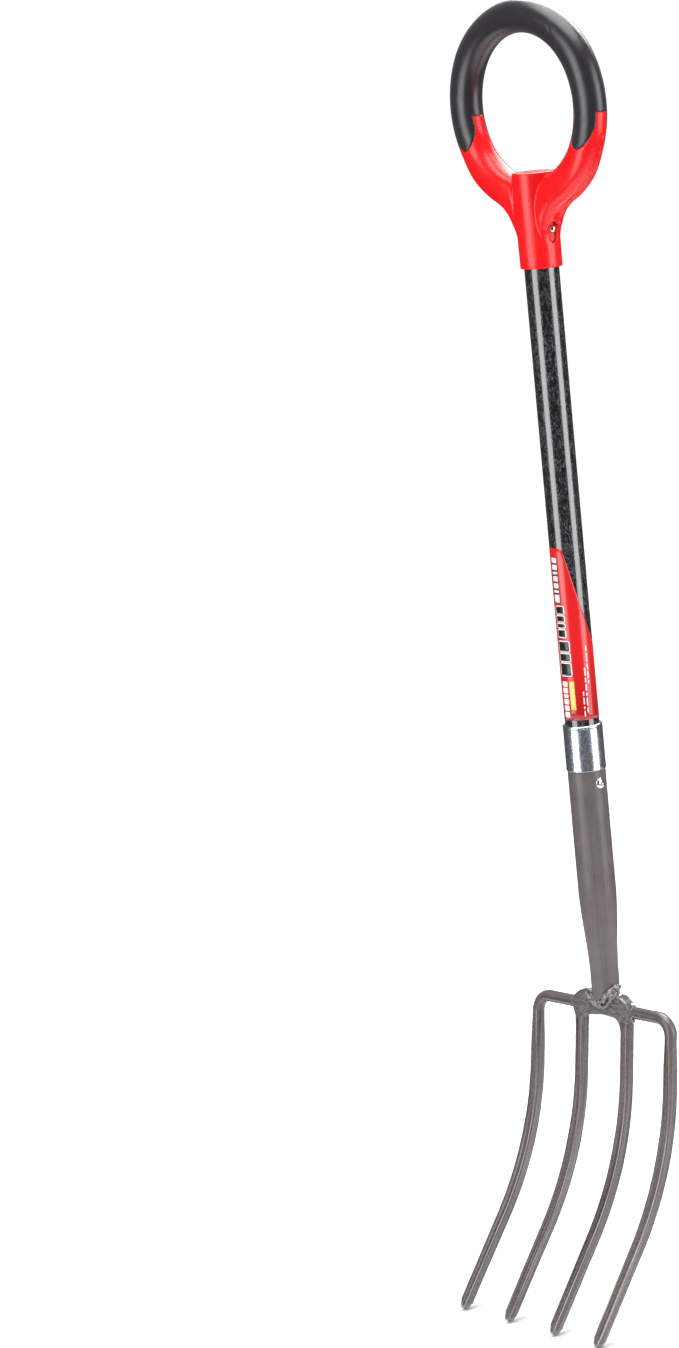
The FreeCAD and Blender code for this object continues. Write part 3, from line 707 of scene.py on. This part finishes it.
def make_print():
    """Generic print: rows of plain blocks where a real label has words. No lettering is drawn."""
    foot = LABEL_BOTTOM
    white = block_row(-17.4 * MM, -11.0 * MM, foot + 2.5 * MM, foot + 33 * MM, (3, 3, 3, 2, 3, 3), 0.9 * MM)
    yellow = [printed_bar(-9.2 * MM, -4.8 * MM, foot + 9 * MM, foot + 33 * MM, 0.4 * MM)]
    black = []
    big = ((-17.2, -6.4, 38.0, 66.5, (5, 3, 4)), (-17.0, -8.6, 70.5, 96.0, (4, 2, 3, 4)))
    for left, right, low, high, lengths in big:
        place = (left * MM, right * MM, foot + low * MM, foot + high * MM, lengths, 2.2 * MM)
        white += block_row(*place, border=0.9 * MM)
        black += block_row(*place, lift=2)
    small = (-17.6 * MM, -11.2 * MM, foot + 99.5 * MM, foot + 137 * MM, (3, 1, 2, 2, 1, 2, 2), 1.5 * MM)
    black += block_row(*small, border=0.7 * MM)
    white += block_row(*small, lift=2)
    # Fine print: three columns of short dashes.
    columns = ((1.8, 3, 24, (4, 2, 5, 3)), (4.6, 6, 44, (3, 5, 2, 4, 3, 5)), (7.4, 30, 62, (2, 4, 3, 5, 3)))
    for left, low, high, lengths in columns:
        white += block_row(left * MM, (left + 1.1) * MM, foot + low * MM, foot + high * MM, lengths, 1.4 * MM)
    finish_piece(join("print_white", white), LABEL_WHITE, "label_film")
    finish_piece(join("print_black", black), LABEL_BLACK, "label_film")
    finish_piece(join("print_yellow", yellow), LABEL_YELLOW, "label_film")


# ---------------------------------------------------------------- ferrule, steel socket and rivets

def make_ferrule():
    """A plated sleeve with a rolled-in mouth, a soft bead at each end and slight dents."""
    inner = SOCKET_RADIUS + 0.02 * MM
    lip = SHAFT_RADIUS + 0.05 * MM
    outer, top, bottom = FERRULE_RADIUS, FERRULE_TOP, FERRULE_BOTTOM
    body = outer - 0.12 * MM
    corners = [(inner, bottom, 0.15), (outer, bottom, 0.4), (outer, bottom + 1.2 * MM, 0.4),
               (body, bottom + 2.0 * MM, 0.5), (body, top - 2.6 * MM, 0.5), (outer, top - 1.9 * MM, 0.4),
               (outer, top - 1.0 * MM, 0.9), (outer - 1.0 * MM, top, 0.9), (lip, top, 0.3),
               (lip, top - 1.1 * MM, 0.1), (inner, top - 1.1 * MM, 0.1)]
    profile = rounded_profile([(radius, height, rounding * MM) for radius, height, rounding in corners])
    ferrule = lathe("ferrule", fine_profile(profile, 1.2 * MM), 192)
    points = mesh_points(ferrule)
    dents = hollows(points * np.array([1, 1, 0.4]), 14 * MM, 3.0, 2)
    radius = axis_distance(points)
    outside = (radius > inner + 0.3 * MM) & (points[:, 2] < top - 0.5 * MM)
    draw_in(points, radius, 0.10 * MM * dents * outside)
    set_points(ferrule, points)
    return finish_piece(ferrule, PLATED_STEEL, "plated_steel", "ferrule_collar")


def socket_radius(height):
    """Outer radius of the steel socket: straight, then an eased taper to a short straight neck."""
    share = np.clip((TAPER_START - height) / (TAPER_START - TAPER_END), 0, 1)
    eased = share + 0.06 * np.sin(2 * math.pi * share) * -1
    return SOCKET_RADIUS + (SOCKET_END_RADIUS - SOCKET_RADIUS) * eased


SOCKET_COPE = 13.5 * MM         # how much higher the socket ends at its sides than at its tongues
FRONT_LIFT = 4.6 * MM
PINCH_TOP = -728 * MM
PINCH = 5.5 * MM


def make_socket():
    """The steel tube, coped at the foot so that tongues reach down in front of and behind the head."""
    around, rows = 160, 220
    outside = [(0.0, row / rows) for row in reversed(range(rows + 1))]
    inside = [(SOCKET_WALL, row / rows) for row in range(rows + 1)]
    points = []
    for layer, share in outside + inside:
        for turn in circle_steps(around):
            sideways = max(0.0, (abs(math.cos(turn)) - 0.15) / 0.85)
            front = max(0.0, -math.sin(turn))
            end = SOCKET_BOTTOM + SOCKET_COPE * sideways ** 1.3 + FRONT_LIFT * front ** 4
            height = SOCKET_TOP + (end - SOCKET_TOP) * share
            radius = float(socket_radius(height)) - layer
            points.append((radius * math.cos(turn), radius * math.sin(turn), height))
    socket = mesh_object("socket", points, tube_faces(2 * (rows + 1), around, closed=True))
    spots = mesh_points(socket)
    radius = axis_distance(spots)
    low = spots[:, 2] < FERRULE_BOTTOM
    dips = hollows(spots * np.array([1, 1, 0.5]), 22 * MM, 5.0, 2)
    draw_in(spots, radius, 0.12 * MM * dips * low)
    pinch = np.clip((PINCH_TOP - spots[:, 2]) / (PINCH_TOP - SOCKET_BOTTOM), 0, 1) ** 2
    spots[:, 1] -= PINCH * pinch * np.clip((spots[:, 1] - 4 * MM) / (8 * MM), 0, 1)
    dimple = np.array([13.6, -8.4, -557.4]) * MM
    away = np.linalg.norm(spots - dimple, axis=1)
    draw_in(spots, radius, 0.5 * MM * np.exp(-(away / (1.1 * MM)) ** 2))
    set_points(socket, spots)
    add_wear(socket, [((-1.2, -16.0, -612.0), 1.6), ((15.6, -3.7, -646.4), 1.0), ((6.0, 14.0, -600.0), 0.8)])
    return finish_piece(socket, SOCKET_PAINT, "painted_steel", "steel_socket")


def store(obj, name, kind, field, values):
    """Keeps a value or a vector per point for the materials."""
    layer = obj.data.attributes.new(name, kind, "POINT")
    layer.data.foreach_set(field, np.array(values, dtype=np.float32).ravel())


def add_wear(obj, chips=(), base=None):
    """Stores where paint is worn: a value per point, and small round chips given in millimetres."""
    points = mesh_points(obj)
    wear = np.zeros(len(points)) if base is None else base
    for place, size in chips:
        away = np.linalg.norm(points - np.array(place) * MM, axis=1)
        wear = np.maximum(wear, 1.0 - 0.45 * away / (size * MM))
    store(obj, "wear", "FLOAT", "value", np.clip(wear, 0, 1))


def rivet_head(side, centre, seat, half, rise, dimple):
    """A dimpled head on the X axis: a flat dome, or a ball when it rises further than it is wide."""
    rings = 18
    cap = min(rise, half)
    lift = rise - cap
    sweep = math.pi / 2 + math.asin(min(1.0, lift / half))
    profile = []
    for ring in range(rings + 1):
        angle = sweep * ring / rings
        radius = half * math.sin(angle)
        pit = dimple * math.exp(-(radius / (0.28 * half)) ** 2) * (angle < 1.5)
        profile.append((radius, lift + cap * math.cos(angle) - pit))
    profile.append((radius, -1.2 * MM))
    turns = circle_steps(40)
    points = [(side * (seat + height), centre.y + radius * math.cos(turn), centre.z + radius * math.sin(turn))
              for radius, height in profile for turn in turns]
    walls = tube_faces(len(profile), len(turns))[2:]
    foot = tuple(reversed(range(len(points) - len(turns), len(points))))
    faces = [*walls, foot]
    if side > 0:
        faces = [tuple(reversed(face)) for face in faces]
    return mesh_object("head", points, faces)


HANDLE_RIVET_SEAT = 15.0 * MM


def make_rivets():
    """Both heads of each rivet: a ball deep in the yoke's recess, and a low dome on the steel socket."""
    for node, dimple in (("handle_rivet", 0.15 * MM), ("socket_rivet", 0.3 * MM)):
        low, high = node_low(node), node_high(node)
        half = 0.5 * (high.z - low.z) if node == "handle_rivet" else high.y
        seat = HANDLE_RIVET_SEAT if node == "handle_rivet" else math.sqrt(SOCKET_RADIUS ** 2 - half ** 2)
        heads = [rivet_head(side, 0.5 * (low + high), seat, half, high.x - seat, dimple) for side in (-1, 1)]
        finish_piece(join(node + "_heads", heads), RIVET_STEEL, "rivet_steel", node)


# ---------------------------------------------------------------- tine bows

def tine_line(steps):
    """Centre line of a tine below the crossbar: (height, forward, slope) from its top to its tip."""
    radius = (CURVE_TOP - CURVE_BOTTOM) / (math.sin(TINE_SLOPE) - math.sin(TINE_LEAN))
    forward_top = CROSSBAR_FORWARD + (CROSSBAR_HEIGHT - CURVE_TOP) * math.tan(TINE_LEAN)
    forward_low = forward_top + radius * (math.cos(TINE_LEAN) - math.cos(TINE_SLOPE))

    def at(height):
        if height >= CURVE_TOP:
            return CROSSBAR_FORWARD + (CROSSBAR_HEIGHT - height) * math.tan(TINE_LEAN), TINE_LEAN
        if height <= CURVE_BOTTOM:
            return forward_low + (CURVE_BOTTOM - height) * math.tan(TINE_SLOPE), TINE_SLOPE
        angle = math.asin((CURVE_TOP - height) / radius + math.sin(TINE_LEAN))
        return forward_top + radius * (math.cos(TINE_LEAN) - math.cos(angle)), angle

    return [(height, *at(height)) for height in steps]


def tine_stations(side, offset, splay, top, low_width):
    """Places, directions and half widths down one tine from a height top to its blunt point."""
    tip = TIP_HEIGHT + 1.35 * MM
    shoulder = tip + TINE_POINT * math.cos(TINE_SLOPE)
    heights = list(np.linspace(top, shoulder, 170))
    widths = [TINE_TOP_WIDTH + (low_width - TINE_TOP_WIDTH) * (top - height) / (top - tip)
              for height in heights]
    for share in (0.08, 0.16, 0.3, 0.45, 0.6, 0.73, 0.84, 0.92, 0.97, 1.0):
        heights.append(shoulder + (tip - shoulder) * share)
        round_end = math.sqrt(1 - 0.8 * max(0.0, (share - 0.08) / 0.92) ** 2)
        widths.append(low_width * round_end * NUB_SHARE)
    stations = []
    for (height, forward, slope), width in zip(tine_line(heights), widths):
        across = side * (offset + splay * (top - height) / (top - tip))
        place = Vector((across, -forward, height))
        direction = Vector((0, -math.sin(slope), -math.cos(slope)))
        binormal = Vector((0, math.cos(slope), -math.sin(slope)))
        crisp = min(max((-790 * MM - height) / (85 * MM), 0.0), 1.0)
        stations.append((place, direction, binormal, 0.5 * width, 0.30 - 0.165 * crisp))
    return stations


def bar_section(half, corner_share):
    """Points round a bar of square section. The sharper its corners, the more its sides are fluted."""
    corner = 2 * half * corner_share
    flat = half - corner
    crisp = min(max((0.46 - corner_share) / 0.32, 0.0), 1.0)
    flute = 0.30 * MM * crisp
    rib = 0.10 * MM * crisp
    spots = []
    flats, arcs = 16, 8
    for quarter in range(4):
        turn = quarter * math.pi / 2
        local = []
        for step in range(flats):
            side = 2 * (step / flats) - 1
            sink = flute * (1 - side * side) - rib * math.exp(-((side - 0.25) / 0.16) ** 2)
            local.append((half - sink, flat * side))
        for step in range(arcs):
            angle = math.pi / 2 * step / arcs
            local.append((flat + corner * math.cos(angle), flat + corner * math.sin(angle)))
        for x, y in local:
            spots.append((x * math.cos(turn) - y * math.sin(turn), x * math.sin(turn) + y * math.cos(turn)))
    return spots


def swept_bar(name, stations, seed):
    """A bar of round-cornered square section along the stations, closed at both ends.
    It stores each point's place on the bar as if the bar were straight, for the marks of its making and for
    the painted highlight and shade along its corners."""
    points = []
    straight = []
    travelled = 0.0
    last_place = stations[0][0]
    for place, direction, binormal, half, corner_share in stations:
        travelled += (place - last_place).length
        last_place = place
        normal = direction.cross(binormal)
        section = bar_section(half, corner_share)
        points += [place + normal * x + binormal * y for x, y in section]
        straight += [(x, y, travelled + seed) for x, y in section]
    bar = mesh_object(name, points, tube_faces(len(stations), len(section)))
    store(bar, "straight", "FLOAT_VECTOR", "vector", straight)
    return bar


def roughen(obj, depth, scale, seed):
    """Uneven forging: moves the points in along their normals by up to depth."""
    points = mesh_points(obj)
    points -= mesh_normals(obj) * (depth * hollows(points, scale, seed))[:, None]
    set_points(obj, points)


def tip_wear(obj):
    """Paint rubs off at the very points of the tines."""
    height = mesh_points(obj)[:, 2] - TIP_HEIGHT
    return 0.85 * np.clip(1.25 - height / (10 * MM), 0, 1)


def make_outer_bow():
    """Both outer tines and the crossbar, one bent bar."""
    top = CROSSBAR_HEIGHT - CROSSBAR_BEND * math.cos(TINE_LEAN)
    left, right = (tine_stations(side, OUTER_TINE, OUTER_SPLAY, top, OUTER_LOW_WIDTH) for side in (-1, 1))
    binormal = left[0][2]
    down = Vector((0, -math.sin(TINE_LEAN), -math.cos(TINE_LEAN)))
    bar_start = OUTER_TINE - CROSSBAR_BEND
    round_half = 0.5 * CROSSBAR_WIDTH

    def bend(side, steps=26):
        """From the crossbar down to the tine."""
        out = Vector((side, 0, 0))
        centre = Vector((side * bar_start, -CROSSBAR_FORWARD, CROSSBAR_HEIGHT)) + down * CROSSBAR_BEND
        made = []
        for step in range(steps + 1):
            angle = math.pi / 2 * step / steps
            place = centre + (out * math.sin(angle) - down * math.cos(angle)) * CROSSBAR_BEND
            direction = out * math.cos(angle) + down * math.sin(angle)
            made.append((place, direction, binormal, round_half, ROUND_CORNER))
        return made

    # The round crossbar turns square over the first stretch of each tine.
    for tine in (left, right):
        for number, (place, direction, side_way, half, corner) in enumerate(tine):
            share = smooth_step(tine[0][0].z - place.z, 0, SETTLE)
            tine[number] = (place, direction, side_way, round_half + (half - round_half) * share,
                            ROUND_CORNER + (corner - ROUND_CORNER) * share)

    def reverse(stations):
        return [(place, -direction, *rest) for place, direction, *rest in reversed(stations)]

    across = Vector((1, 0, 0))
    middle = [(Vector((x, -CROSSBAR_FORWARD, CROSSBAR_HEIGHT)), across, binormal, round_half, ROUND_CORNER)
              for x in np.linspace(-bar_start, bar_start, 90)]
    path = reverse(left) + reverse(bend(-1))[1:] + middle[1:] + bend(1)[1:] + right[1:]
    bow = swept_bar("outer_bow", path, 0.0)
    roughen(bow, 0.28 * MM, 13 * MM, 2.0)
    add_wear(bow, [((74.0, -7.0, -750.3), 0.8), ((-78.0, -13.0, -800.0), 0.6)], tip_wear(bow))
    return finish_piece(bow, TINE_PAINT, "painted_steel", "outer_tine_bow")


def plate_outline():
    """The saddle plate's rough outline, seen from the front, as (x, height) from its top middle clockwise."""
    inside, outside = (1000 * (INNER_TINE + INNER_SHIFT + share * TINE_TOP_WIDTH) for share in (-0.5, 0.5))
    left_inside, left_outside = inside - 2000 * INNER_SHIFT, outside - 2000 * INNER_SHIFT
    foot = -775.0
    spots = [(1.0, -742.6), (9.0, -741.8), (18.0, -740.9), (26.0, -742.4), (32.0, -745.4), (36.3, -748.8),
             (37.6, -753.0), (36.9, -757.6), (34.4, -760.6), (32.6, -764.0), (outside, -769.0),
             (outside, foot),
             (inside, foot), (inside, -770.0), (inside - 0.9, -766.2), (inside - 3.2, -763.0),
             (inside - 6.5, -761.0), (3.5, -760.3), (-5.0, -761.2), (-12.0, -762.2), (-17.5, -764.0),
             (-20.8, -765.4), (-left_inside, -768.4), (-left_inside, foot), (-left_outside, foot),
             (-left_outside, -766.0),
             (-32.7, -760.0), (-34.0, -754.6), (-32.3, -749.0), (-27.8, -744.4), (-21.0, -740.8),
             (-12.4, -739.1), (-5.0, -741.4)]
    return [(x * MM, height * MM) for x, height in spots]


def soften_above(obj, height, rounds):
    """Rounds off everything above a height, as forging leaves it."""
    with opened(obj.data) as soft:
        upper = [vert for vert in soft.verts if vert.co.z > height]
        for _ in range(rounds):
            bmesh.ops.smooth_vert(soft, verts=upper, factor=0.5, use_axis_x=True, use_axis_y=True,
                                  use_axis_z=True)


def plate_share(points):
    return (points[:, 2] > PLATE_BOTTOM - 5 * MM).astype(float)


def straight_places(points):
    """Where points of the inner bow would be if its tines were straight, for marks along them and for the
    painted highlight and shade along their corners.
    On the plate the marks run across it instead."""
    heights = np.linspace(CROSSBAR_HEIGHT, TIP_HEIGHT - 5 * MM, 400)
    line = np.array(tine_line(list(heights)))
    lengths = np.concatenate([[0], np.cumsum(np.hypot(np.diff(line[:, 0]), np.diff(line[:, 1])))])
    forward, slope, travelled = (np.interp(-points[:, 2], -line[:, 0], column)
                                 for column in (line[:, 1], line[:, 2], lengths))
    depth = points[:, 1] + forward
    straight = np.stack([np.abs(points[:, 0] - INNER_SHIFT) - INNER_TINE, depth * np.cos(slope),
                         travelled - depth * np.sin(slope) + np.sign(points[:, 0])], axis=1)
    on_plate = plate_share(points)[:, None]
    return straight * (1 - on_plate) + points[:, [2, 1, 0]] * PLATE_GRAIN * on_plate


def make_inner_bow():
    """The forged saddle plate with both inner tines, as one rough skin."""
    outline = plate_outline()
    faces_at = (0.4 * MM - CROSSBAR_FORWARD, PLATE_FRONT)
    points = [(x, depth, height) for depth in faces_at for x, height in outline]
    parts = [mesh_object("plate", points, tube_faces(2, len(outline)))]
    top = CROSSBAR_HEIGHT - 0.5 * CROSSBAR_WIDTH - 0.4 * MM
    for side in (-1, 1):
        stations = tine_stations(side, INNER_TINE + side * INNER_SHIFT, INNER_SPLAY, top, INNER_LOW_WIDTH)
        parts.append(swept_bar("tine", stations, 0.3 * side))
    bow = join("inner_bow", parts)
    remesh(bow, HEAD_VOXEL, 2)
    soften_above(bow, PLATE_BOTTOM - 4 * MM, 9)
    points = mesh_points(bow)
    store(bow, "straight", "FLOAT_VECTOR", "vector", straight_places(points))
    # Hammered and dressed surface on the plate, calmer down the tines.
    lumps = hollows(points, 5 * MM, 9.0, 4)
    broad = hollows(points, 14 * MM, 4.0, 2)
    depth = (0.15 + 0.25 * plate_share(points)) * MM * lumps + 0.2 * MM * broad
    points -= mesh_normals(bow) * depth[:, None]
    set_points(bow, points)
    add_wear(bow, [((-16.0, -10.4, -742.0), 0.7)], tip_wear(bow))
    return finish_piece(bow, TINE_PAINT, "painted_steel", "inner_tine_bow")


# ---------------------------------------------------------------- welds

def blob(centre, sizes, turn):
    """A ball, squashed and turned about Z, that a remesh later merges with others."""
    mesh = bpy.data.meshes.new("blob")
    with opened(mesh) as ball:
        bmesh.ops.create_icosphere(ball, subdivisions=3, radius=1.0)
        cosine, sine = math.cos(turn), math.sin(turn)
        for vert in ball.verts:
            x, y, z = (value * size for value, size in zip(vert.co, sizes))
            vert.co = Vector((x * cosine - y * sine, x * sine + y * cosine, z)) + centre
    return add_object("blob", mesh)


def along(points, spacing):
    """Evenly spaced places on straight runs through the points."""
    spots = []
    for start, end in zip(points, points[1:]):
        start, end = Vector(start), Vector(end)
        count = max(1, round((end - start).length / spacing))
        spots += [start.lerp(end, step / count) for step in range(count)]
    return spots + [Vector(points[-1])]


SPATTER_TOP = -746 * MM


def flake(corners, thick):
    """A thin torn flake of metal: a flat shape facing the front, given as (x, y, height) corners."""
    points = [Vector((x, y + layer, height)) * MM for layer in (thick, 0.0) for x, y, height in corners]
    return mesh_object("flake", points, tube_faces(2, len(corners)))


def weld_bead(name, runs, radius, seed, nodes=(), spatter=0, rough=0.3, smooth=2, extra=(),
              material=WELD_PAINT):
    """Hand-laid bead: overlapping ripples with uneven size, plus drops of spatter on the plate below it."""
    dice = np.random.default_rng(seed)
    radius *= MM
    blobs = list(extra)
    for run in runs:
        for place in along([Vector(spot) * MM for spot in run], 0.6 * radius):
            size = radius * dice.uniform(0.8, 1.15)
            shift = Vector(dice.uniform(-0.3, 0.3, 3)) * radius
            sizes = (size, size * 0.8, size * dice.uniform(0.7, 1.0))
            blobs.append(blob(place + shift, sizes, dice.uniform(0, math.pi)))
    every = along([Vector(spot) * MM for spot in runs[0]], 1.0 * MM)
    for _ in range(spatter):
        place = every[dice.integers(len(every))] + Vector(dice.uniform(-2.4, 2.4, 3)) * radius
        place = Vector((place.x, PLATE_FRONT, min(place.z, SPATTER_TOP)))
        size = dice.uniform(0.5, 0.9) * MM
        blobs.append(blob(place, (size, size, size), 0.0))
    bead = join(name, blobs)
    remesh(bead, WELD_VOXEL, smooth)
    points = mesh_points(bead)
    points += mesh_normals(bead) * (rough * MM * bumps(points, 4.4 * MM, float(seed), 2))[:, None]
    set_points(bead, points)
    add_wear(bead)
    return finish_piece(bead, material, "weld_bead", *nodes)


def make_welds():
    """Tube to head: a wide smile on the plate, lumps up the tube's right side and a torn fin beside them."""
    smile = [(-13.0, -5.4, -739.6), (-13.2, -10.4, -744.0), (-6.5, -11.9, -748.4), (0.5, -12.6, -751.4),
             (6.4, -12.2, -752.2), (12.1, -11.2, -750.2), (16.9, -10.6, -745.6), (19.5, -9.4, -741.4)]
    filler = [(-9.0, -9.4, -743.6), (-4.0, -10.6, -747.6), (2.0, -11.0, -749.0), (8.0, -10.2, -747.4)]
    weld_bead("weld_front", [smile, filler], 1.8, 11, ["socket_weld_front"], spatter=14, rough=0.7, smooth=6)
    outer = [(7.6, -10.6, -746.0), (10.4, -9.0, -742.4), (12.4, -6.0, -739.4), (13.0, -2.0, -737.4),
             (12.2, 3.6, -736.4)]
    inner = [(10.6, -7.4, -745.6), (12.4, -3.0, -743.0), (11.4, 2.0, -742.4)]
    weld_bead("weld_side", [outer, inner, [(15.0, -7.4, -743.6), (18.6, -6.6, -741.6)]], 3.0, 15,
              rough=0.7, smooth=6)
    back = [(-12.0, 0.5, -739.0), (-8.5, 3.6, -744.5), (-3.6, 2.6, -750.0), (3.6, 2.6, -750.2),
            (8.5, 3.6, -744.5), (12.0, 1.5, -739.6)]
    weld_bead("weld_back", [back], 2.3, 12, ["socket_weld_back"])
    fin = flake([(20.0, -7.6, -744.2), (24.0, -4.6, -740.0), (30.0, -4.4, -740.6), (38.8, -6.0, -746.0),
                 (33.0, -8.4, -746.4), (27.0, -9.0, -747.4)], 1.6)
    root = [(22.0, -6.4, -745.6), (27.0, -6.6, -747.0), (30.6, -6.4, -748.6)]
    weld_bead("weld_fin", [root], 1.5, 13, rough=0.25, extra=[fin])
    drip = [(37.0, -8.4, -758.0), (39.4, -8.0, -760.0), (38.0, -8.4, -762.0)]
    weld_bead("weld_drip", [drip, [(31.0, -9.8, -762.4), (35.0, -9.6, -762.2)]], 1.3, 14)


def collar_run(x, radius, first, last, sag):
    """Places round the crossbar at x, from the first angle to the last; 0 is to the front, 90 is up."""
    run = []
    for step in range(9):
        angle = math.radians(first + (last - first) * step / 8)
        run.append((x + sag * math.sin(2.6 * angle), -1000 * CROSSBAR_FORWARD - radius * math.cos(angle),
                    1000 * CROSSBAR_HEIGHT + radius * math.sin(angle)))
    return run


def make_bow_welds():
    """Head to crossbar: a ragged collar at each end of the plate and a bead along it, above and below."""
    for end, x, inward, seed in (("left", -34.6, 2.2, 21), ("right", 36.6, -2.2, 22)):
        runs = [collar_run(x, 4.9, -150, 170, 0.9), collar_run(x + inward, 5.6, -60, 120, -0.7)]
        weld_bead("collar_" + end, runs, 1.2, seed, ["bow_weld_" + end], rough=0.15, smooth=6,
                  material=SOCKET_PAINT)
    for edge, up, seed in (("top", 1, 23), ("bottom", -1, 24)):
        level = (CROSSBAR_HEIGHT + up * 0.5 * CROSSBAR_WIDTH) / MM + 0.2 * up
        run = [(-30.5, -2.6, level), (-16, -2.3, level - 0.3), (0, -2.8, level), (15, -2.4, level - 0.2),
               (30.5, -2.6, level)]
        weld_bead("bead_" + edge, [run], 1.5, seed, ["bow_weld_" + edge], material=SOCKET_PAINT)


# ---------------------------------------------------------------- floor, light and camera

FLOOR_MIDDLE = 0.9
FLOOR_EDGE = 60.0


def make_floor():
    """A wide pale floor. Only its middle shows in reflections, so that glossy parts mirror a dim studio."""
    low = node_low("outer_tine_bow").z - 0.2 * MM
    turns = circle_steps(96)
    near, far = ([(reach * math.cos(turn), reach * math.sin(turn), low) for turn in turns]
                 for reach in (FLOOR_MIDDLE, FLOOR_EDGE))
    ring = tube_faces(2, len(turns))[2:]
    for name, points, faces, grey in (("floor_middle", near, [tuple(range(len(turns)))], 0.66),
                                      ("floor_far", far + near, ring, 0.87)):
        surface = Surface(name, Roughness=0.9)
        grain = surface.noise(surface.position, 6.0, 3.0)
        surface.feed(surface.ramp(grain, (0.3, grey - 0.01), (0.7, grey + 0.01)), "Base Color")
        floor = mesh_object(name, points, faces)
        floor.data.materials.append(surface.material)
        floor.visible_glossy = floor.visible_diffuse = name == "floor_middle"


def area_light(name, place, target, width, height, radiance):
    light = bpy.data.lights.new(name, "AREA")
    light.shape = "RECTANGLE"
    light.size = width
    light.size_y = height
    light.energy = radiance * math.pi * width * height
    obj = add_object(name, light)
    obj.location = place
    obj.rotation_euler = (Vector(target) - Vector(place)).to_track_quat("-Z", "Y").to_euler()
    obj.visible_camera = False


def around_object(degrees, distance, height):
    """A place round the object; degrees are counted from the camera's side, positive to its right."""
    turn = CAMERA_AZIMUTH + math.radians(degrees)
    return (math.sin(turn) * distance, -math.cos(turn) * distance, height)


def make_light():
    """A tall softbox on either side, one above, one behind the ring, and a soft sun for the floor."""
    middle = (0, 0, 0.05)
    for name, degrees in (("left_softbox", -56), ("right_softbox", 61)):
        area_light(name, around_object(degrees, 2.0, 0.05), middle, 1.25, 2.1, 4.1)
    area_light("top_softbox", (0.0, 0.0, 1.7), (0, 0, 0), 1.6, 1.6, 1.0)
    area_light("rim_softbox", around_object(158, 1.3, 1.05), middle, 1.5, 1.1, 8.5)
    sun = bpy.data.lights.new("overhead", "SUN")
    sun.energy = 3.3
    sun.angle = math.radians(60)
    add_object("overhead", sun)


def make_world():
    """White behind the scene, but a dim fill light, and dimmer still in reflections."""
    world = bpy.data.worlds.new("studio")
    world.use_nodes = True
    tree = world.node_tree
    background = tree.nodes["Background"]
    background.inputs["Color"].default_value = (1.0, 1.0, 1.0, 1.0)
    rays = tree.nodes.new("ShaderNodeLightPath")
    dim = tree.nodes.new("ShaderNodeMapRange")
    tree.links.new(rays.outputs["Is Glossy Ray"], dim.inputs["Value"])
    dim.inputs["To Min"].default_value = 0.25
    dim.inputs["To Max"].default_value = 0.08
    seen = tree.nodes.new("ShaderNodeMath")
    seen.operation = "MAXIMUM"
    tree.links.new(rays.outputs["Is Camera Ray"], seen.inputs[0])
    tree.links.new(dim.outputs["Result"], seen.inputs[1])
    tree.links.new(seen.outputs["Value"], background.inputs["Strength"])
    bpy.context.scene.world = world


CAMERA_AZIMUTH = math.radians(50.95)
CAMERA_ELEVATION = math.radians(10.66)
CAMERA_ROLL = math.radians(-5.71)
CAMERA_DISTANCE = 3.480
CAMERA_ASIDE = -0.1966          # the view's middle lies this far beside the shaft
CAMERA_AIM_HEIGHT = -0.4495
CAMERA_LENS = 112.28


def make_camera():
    back = Vector((math.sin(CAMERA_AZIMUTH) * math.cos(CAMERA_ELEVATION),
                   -math.cos(CAMERA_AZIMUTH) * math.cos(CAMERA_ELEVATION), math.sin(CAMERA_ELEVATION)))
    right = Vector((math.cos(CAMERA_AZIMUTH), math.sin(CAMERA_AZIMUTH), 0))
    rolled_right = right * math.cos(CAMERA_ROLL) + back.cross(right) * math.sin(CAMERA_ROLL)
    data = bpy.data.cameras.new("camera")
    data.lens = CAMERA_LENS
    data.sensor_width = 36.0
    camera = add_object("camera", data)
    placed = Matrix((rolled_right, back.cross(rolled_right), back)).transposed().to_4x4()
    placed.translation = Vector((0, 0, CAMERA_AIM_HEIGHT)) + right * CAMERA_ASIDE + back * CAMERA_DISTANCE
    camera.matrix_world = placed
    bpy.context.scene.camera = camera


# ---------------------------------------------------------------- build

make_yoke()
make_grip()
make_shaft()
make_label()
make_print()
make_ferrule()
make_socket()
make_rivets()
make_outer_bow()
make_inner_bow()
make_welds()
make_bow_welds()
for plug in ("upper_core_plug", "lower_core_plug"):
    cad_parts[plug].data.materials.clear()
    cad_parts[plug].data.materials.append(LABEL_BLACK)
make_floor()
make_light()
make_world()
make_camera()
bpy.context.scene.view_settings.view_transform = "Standard"
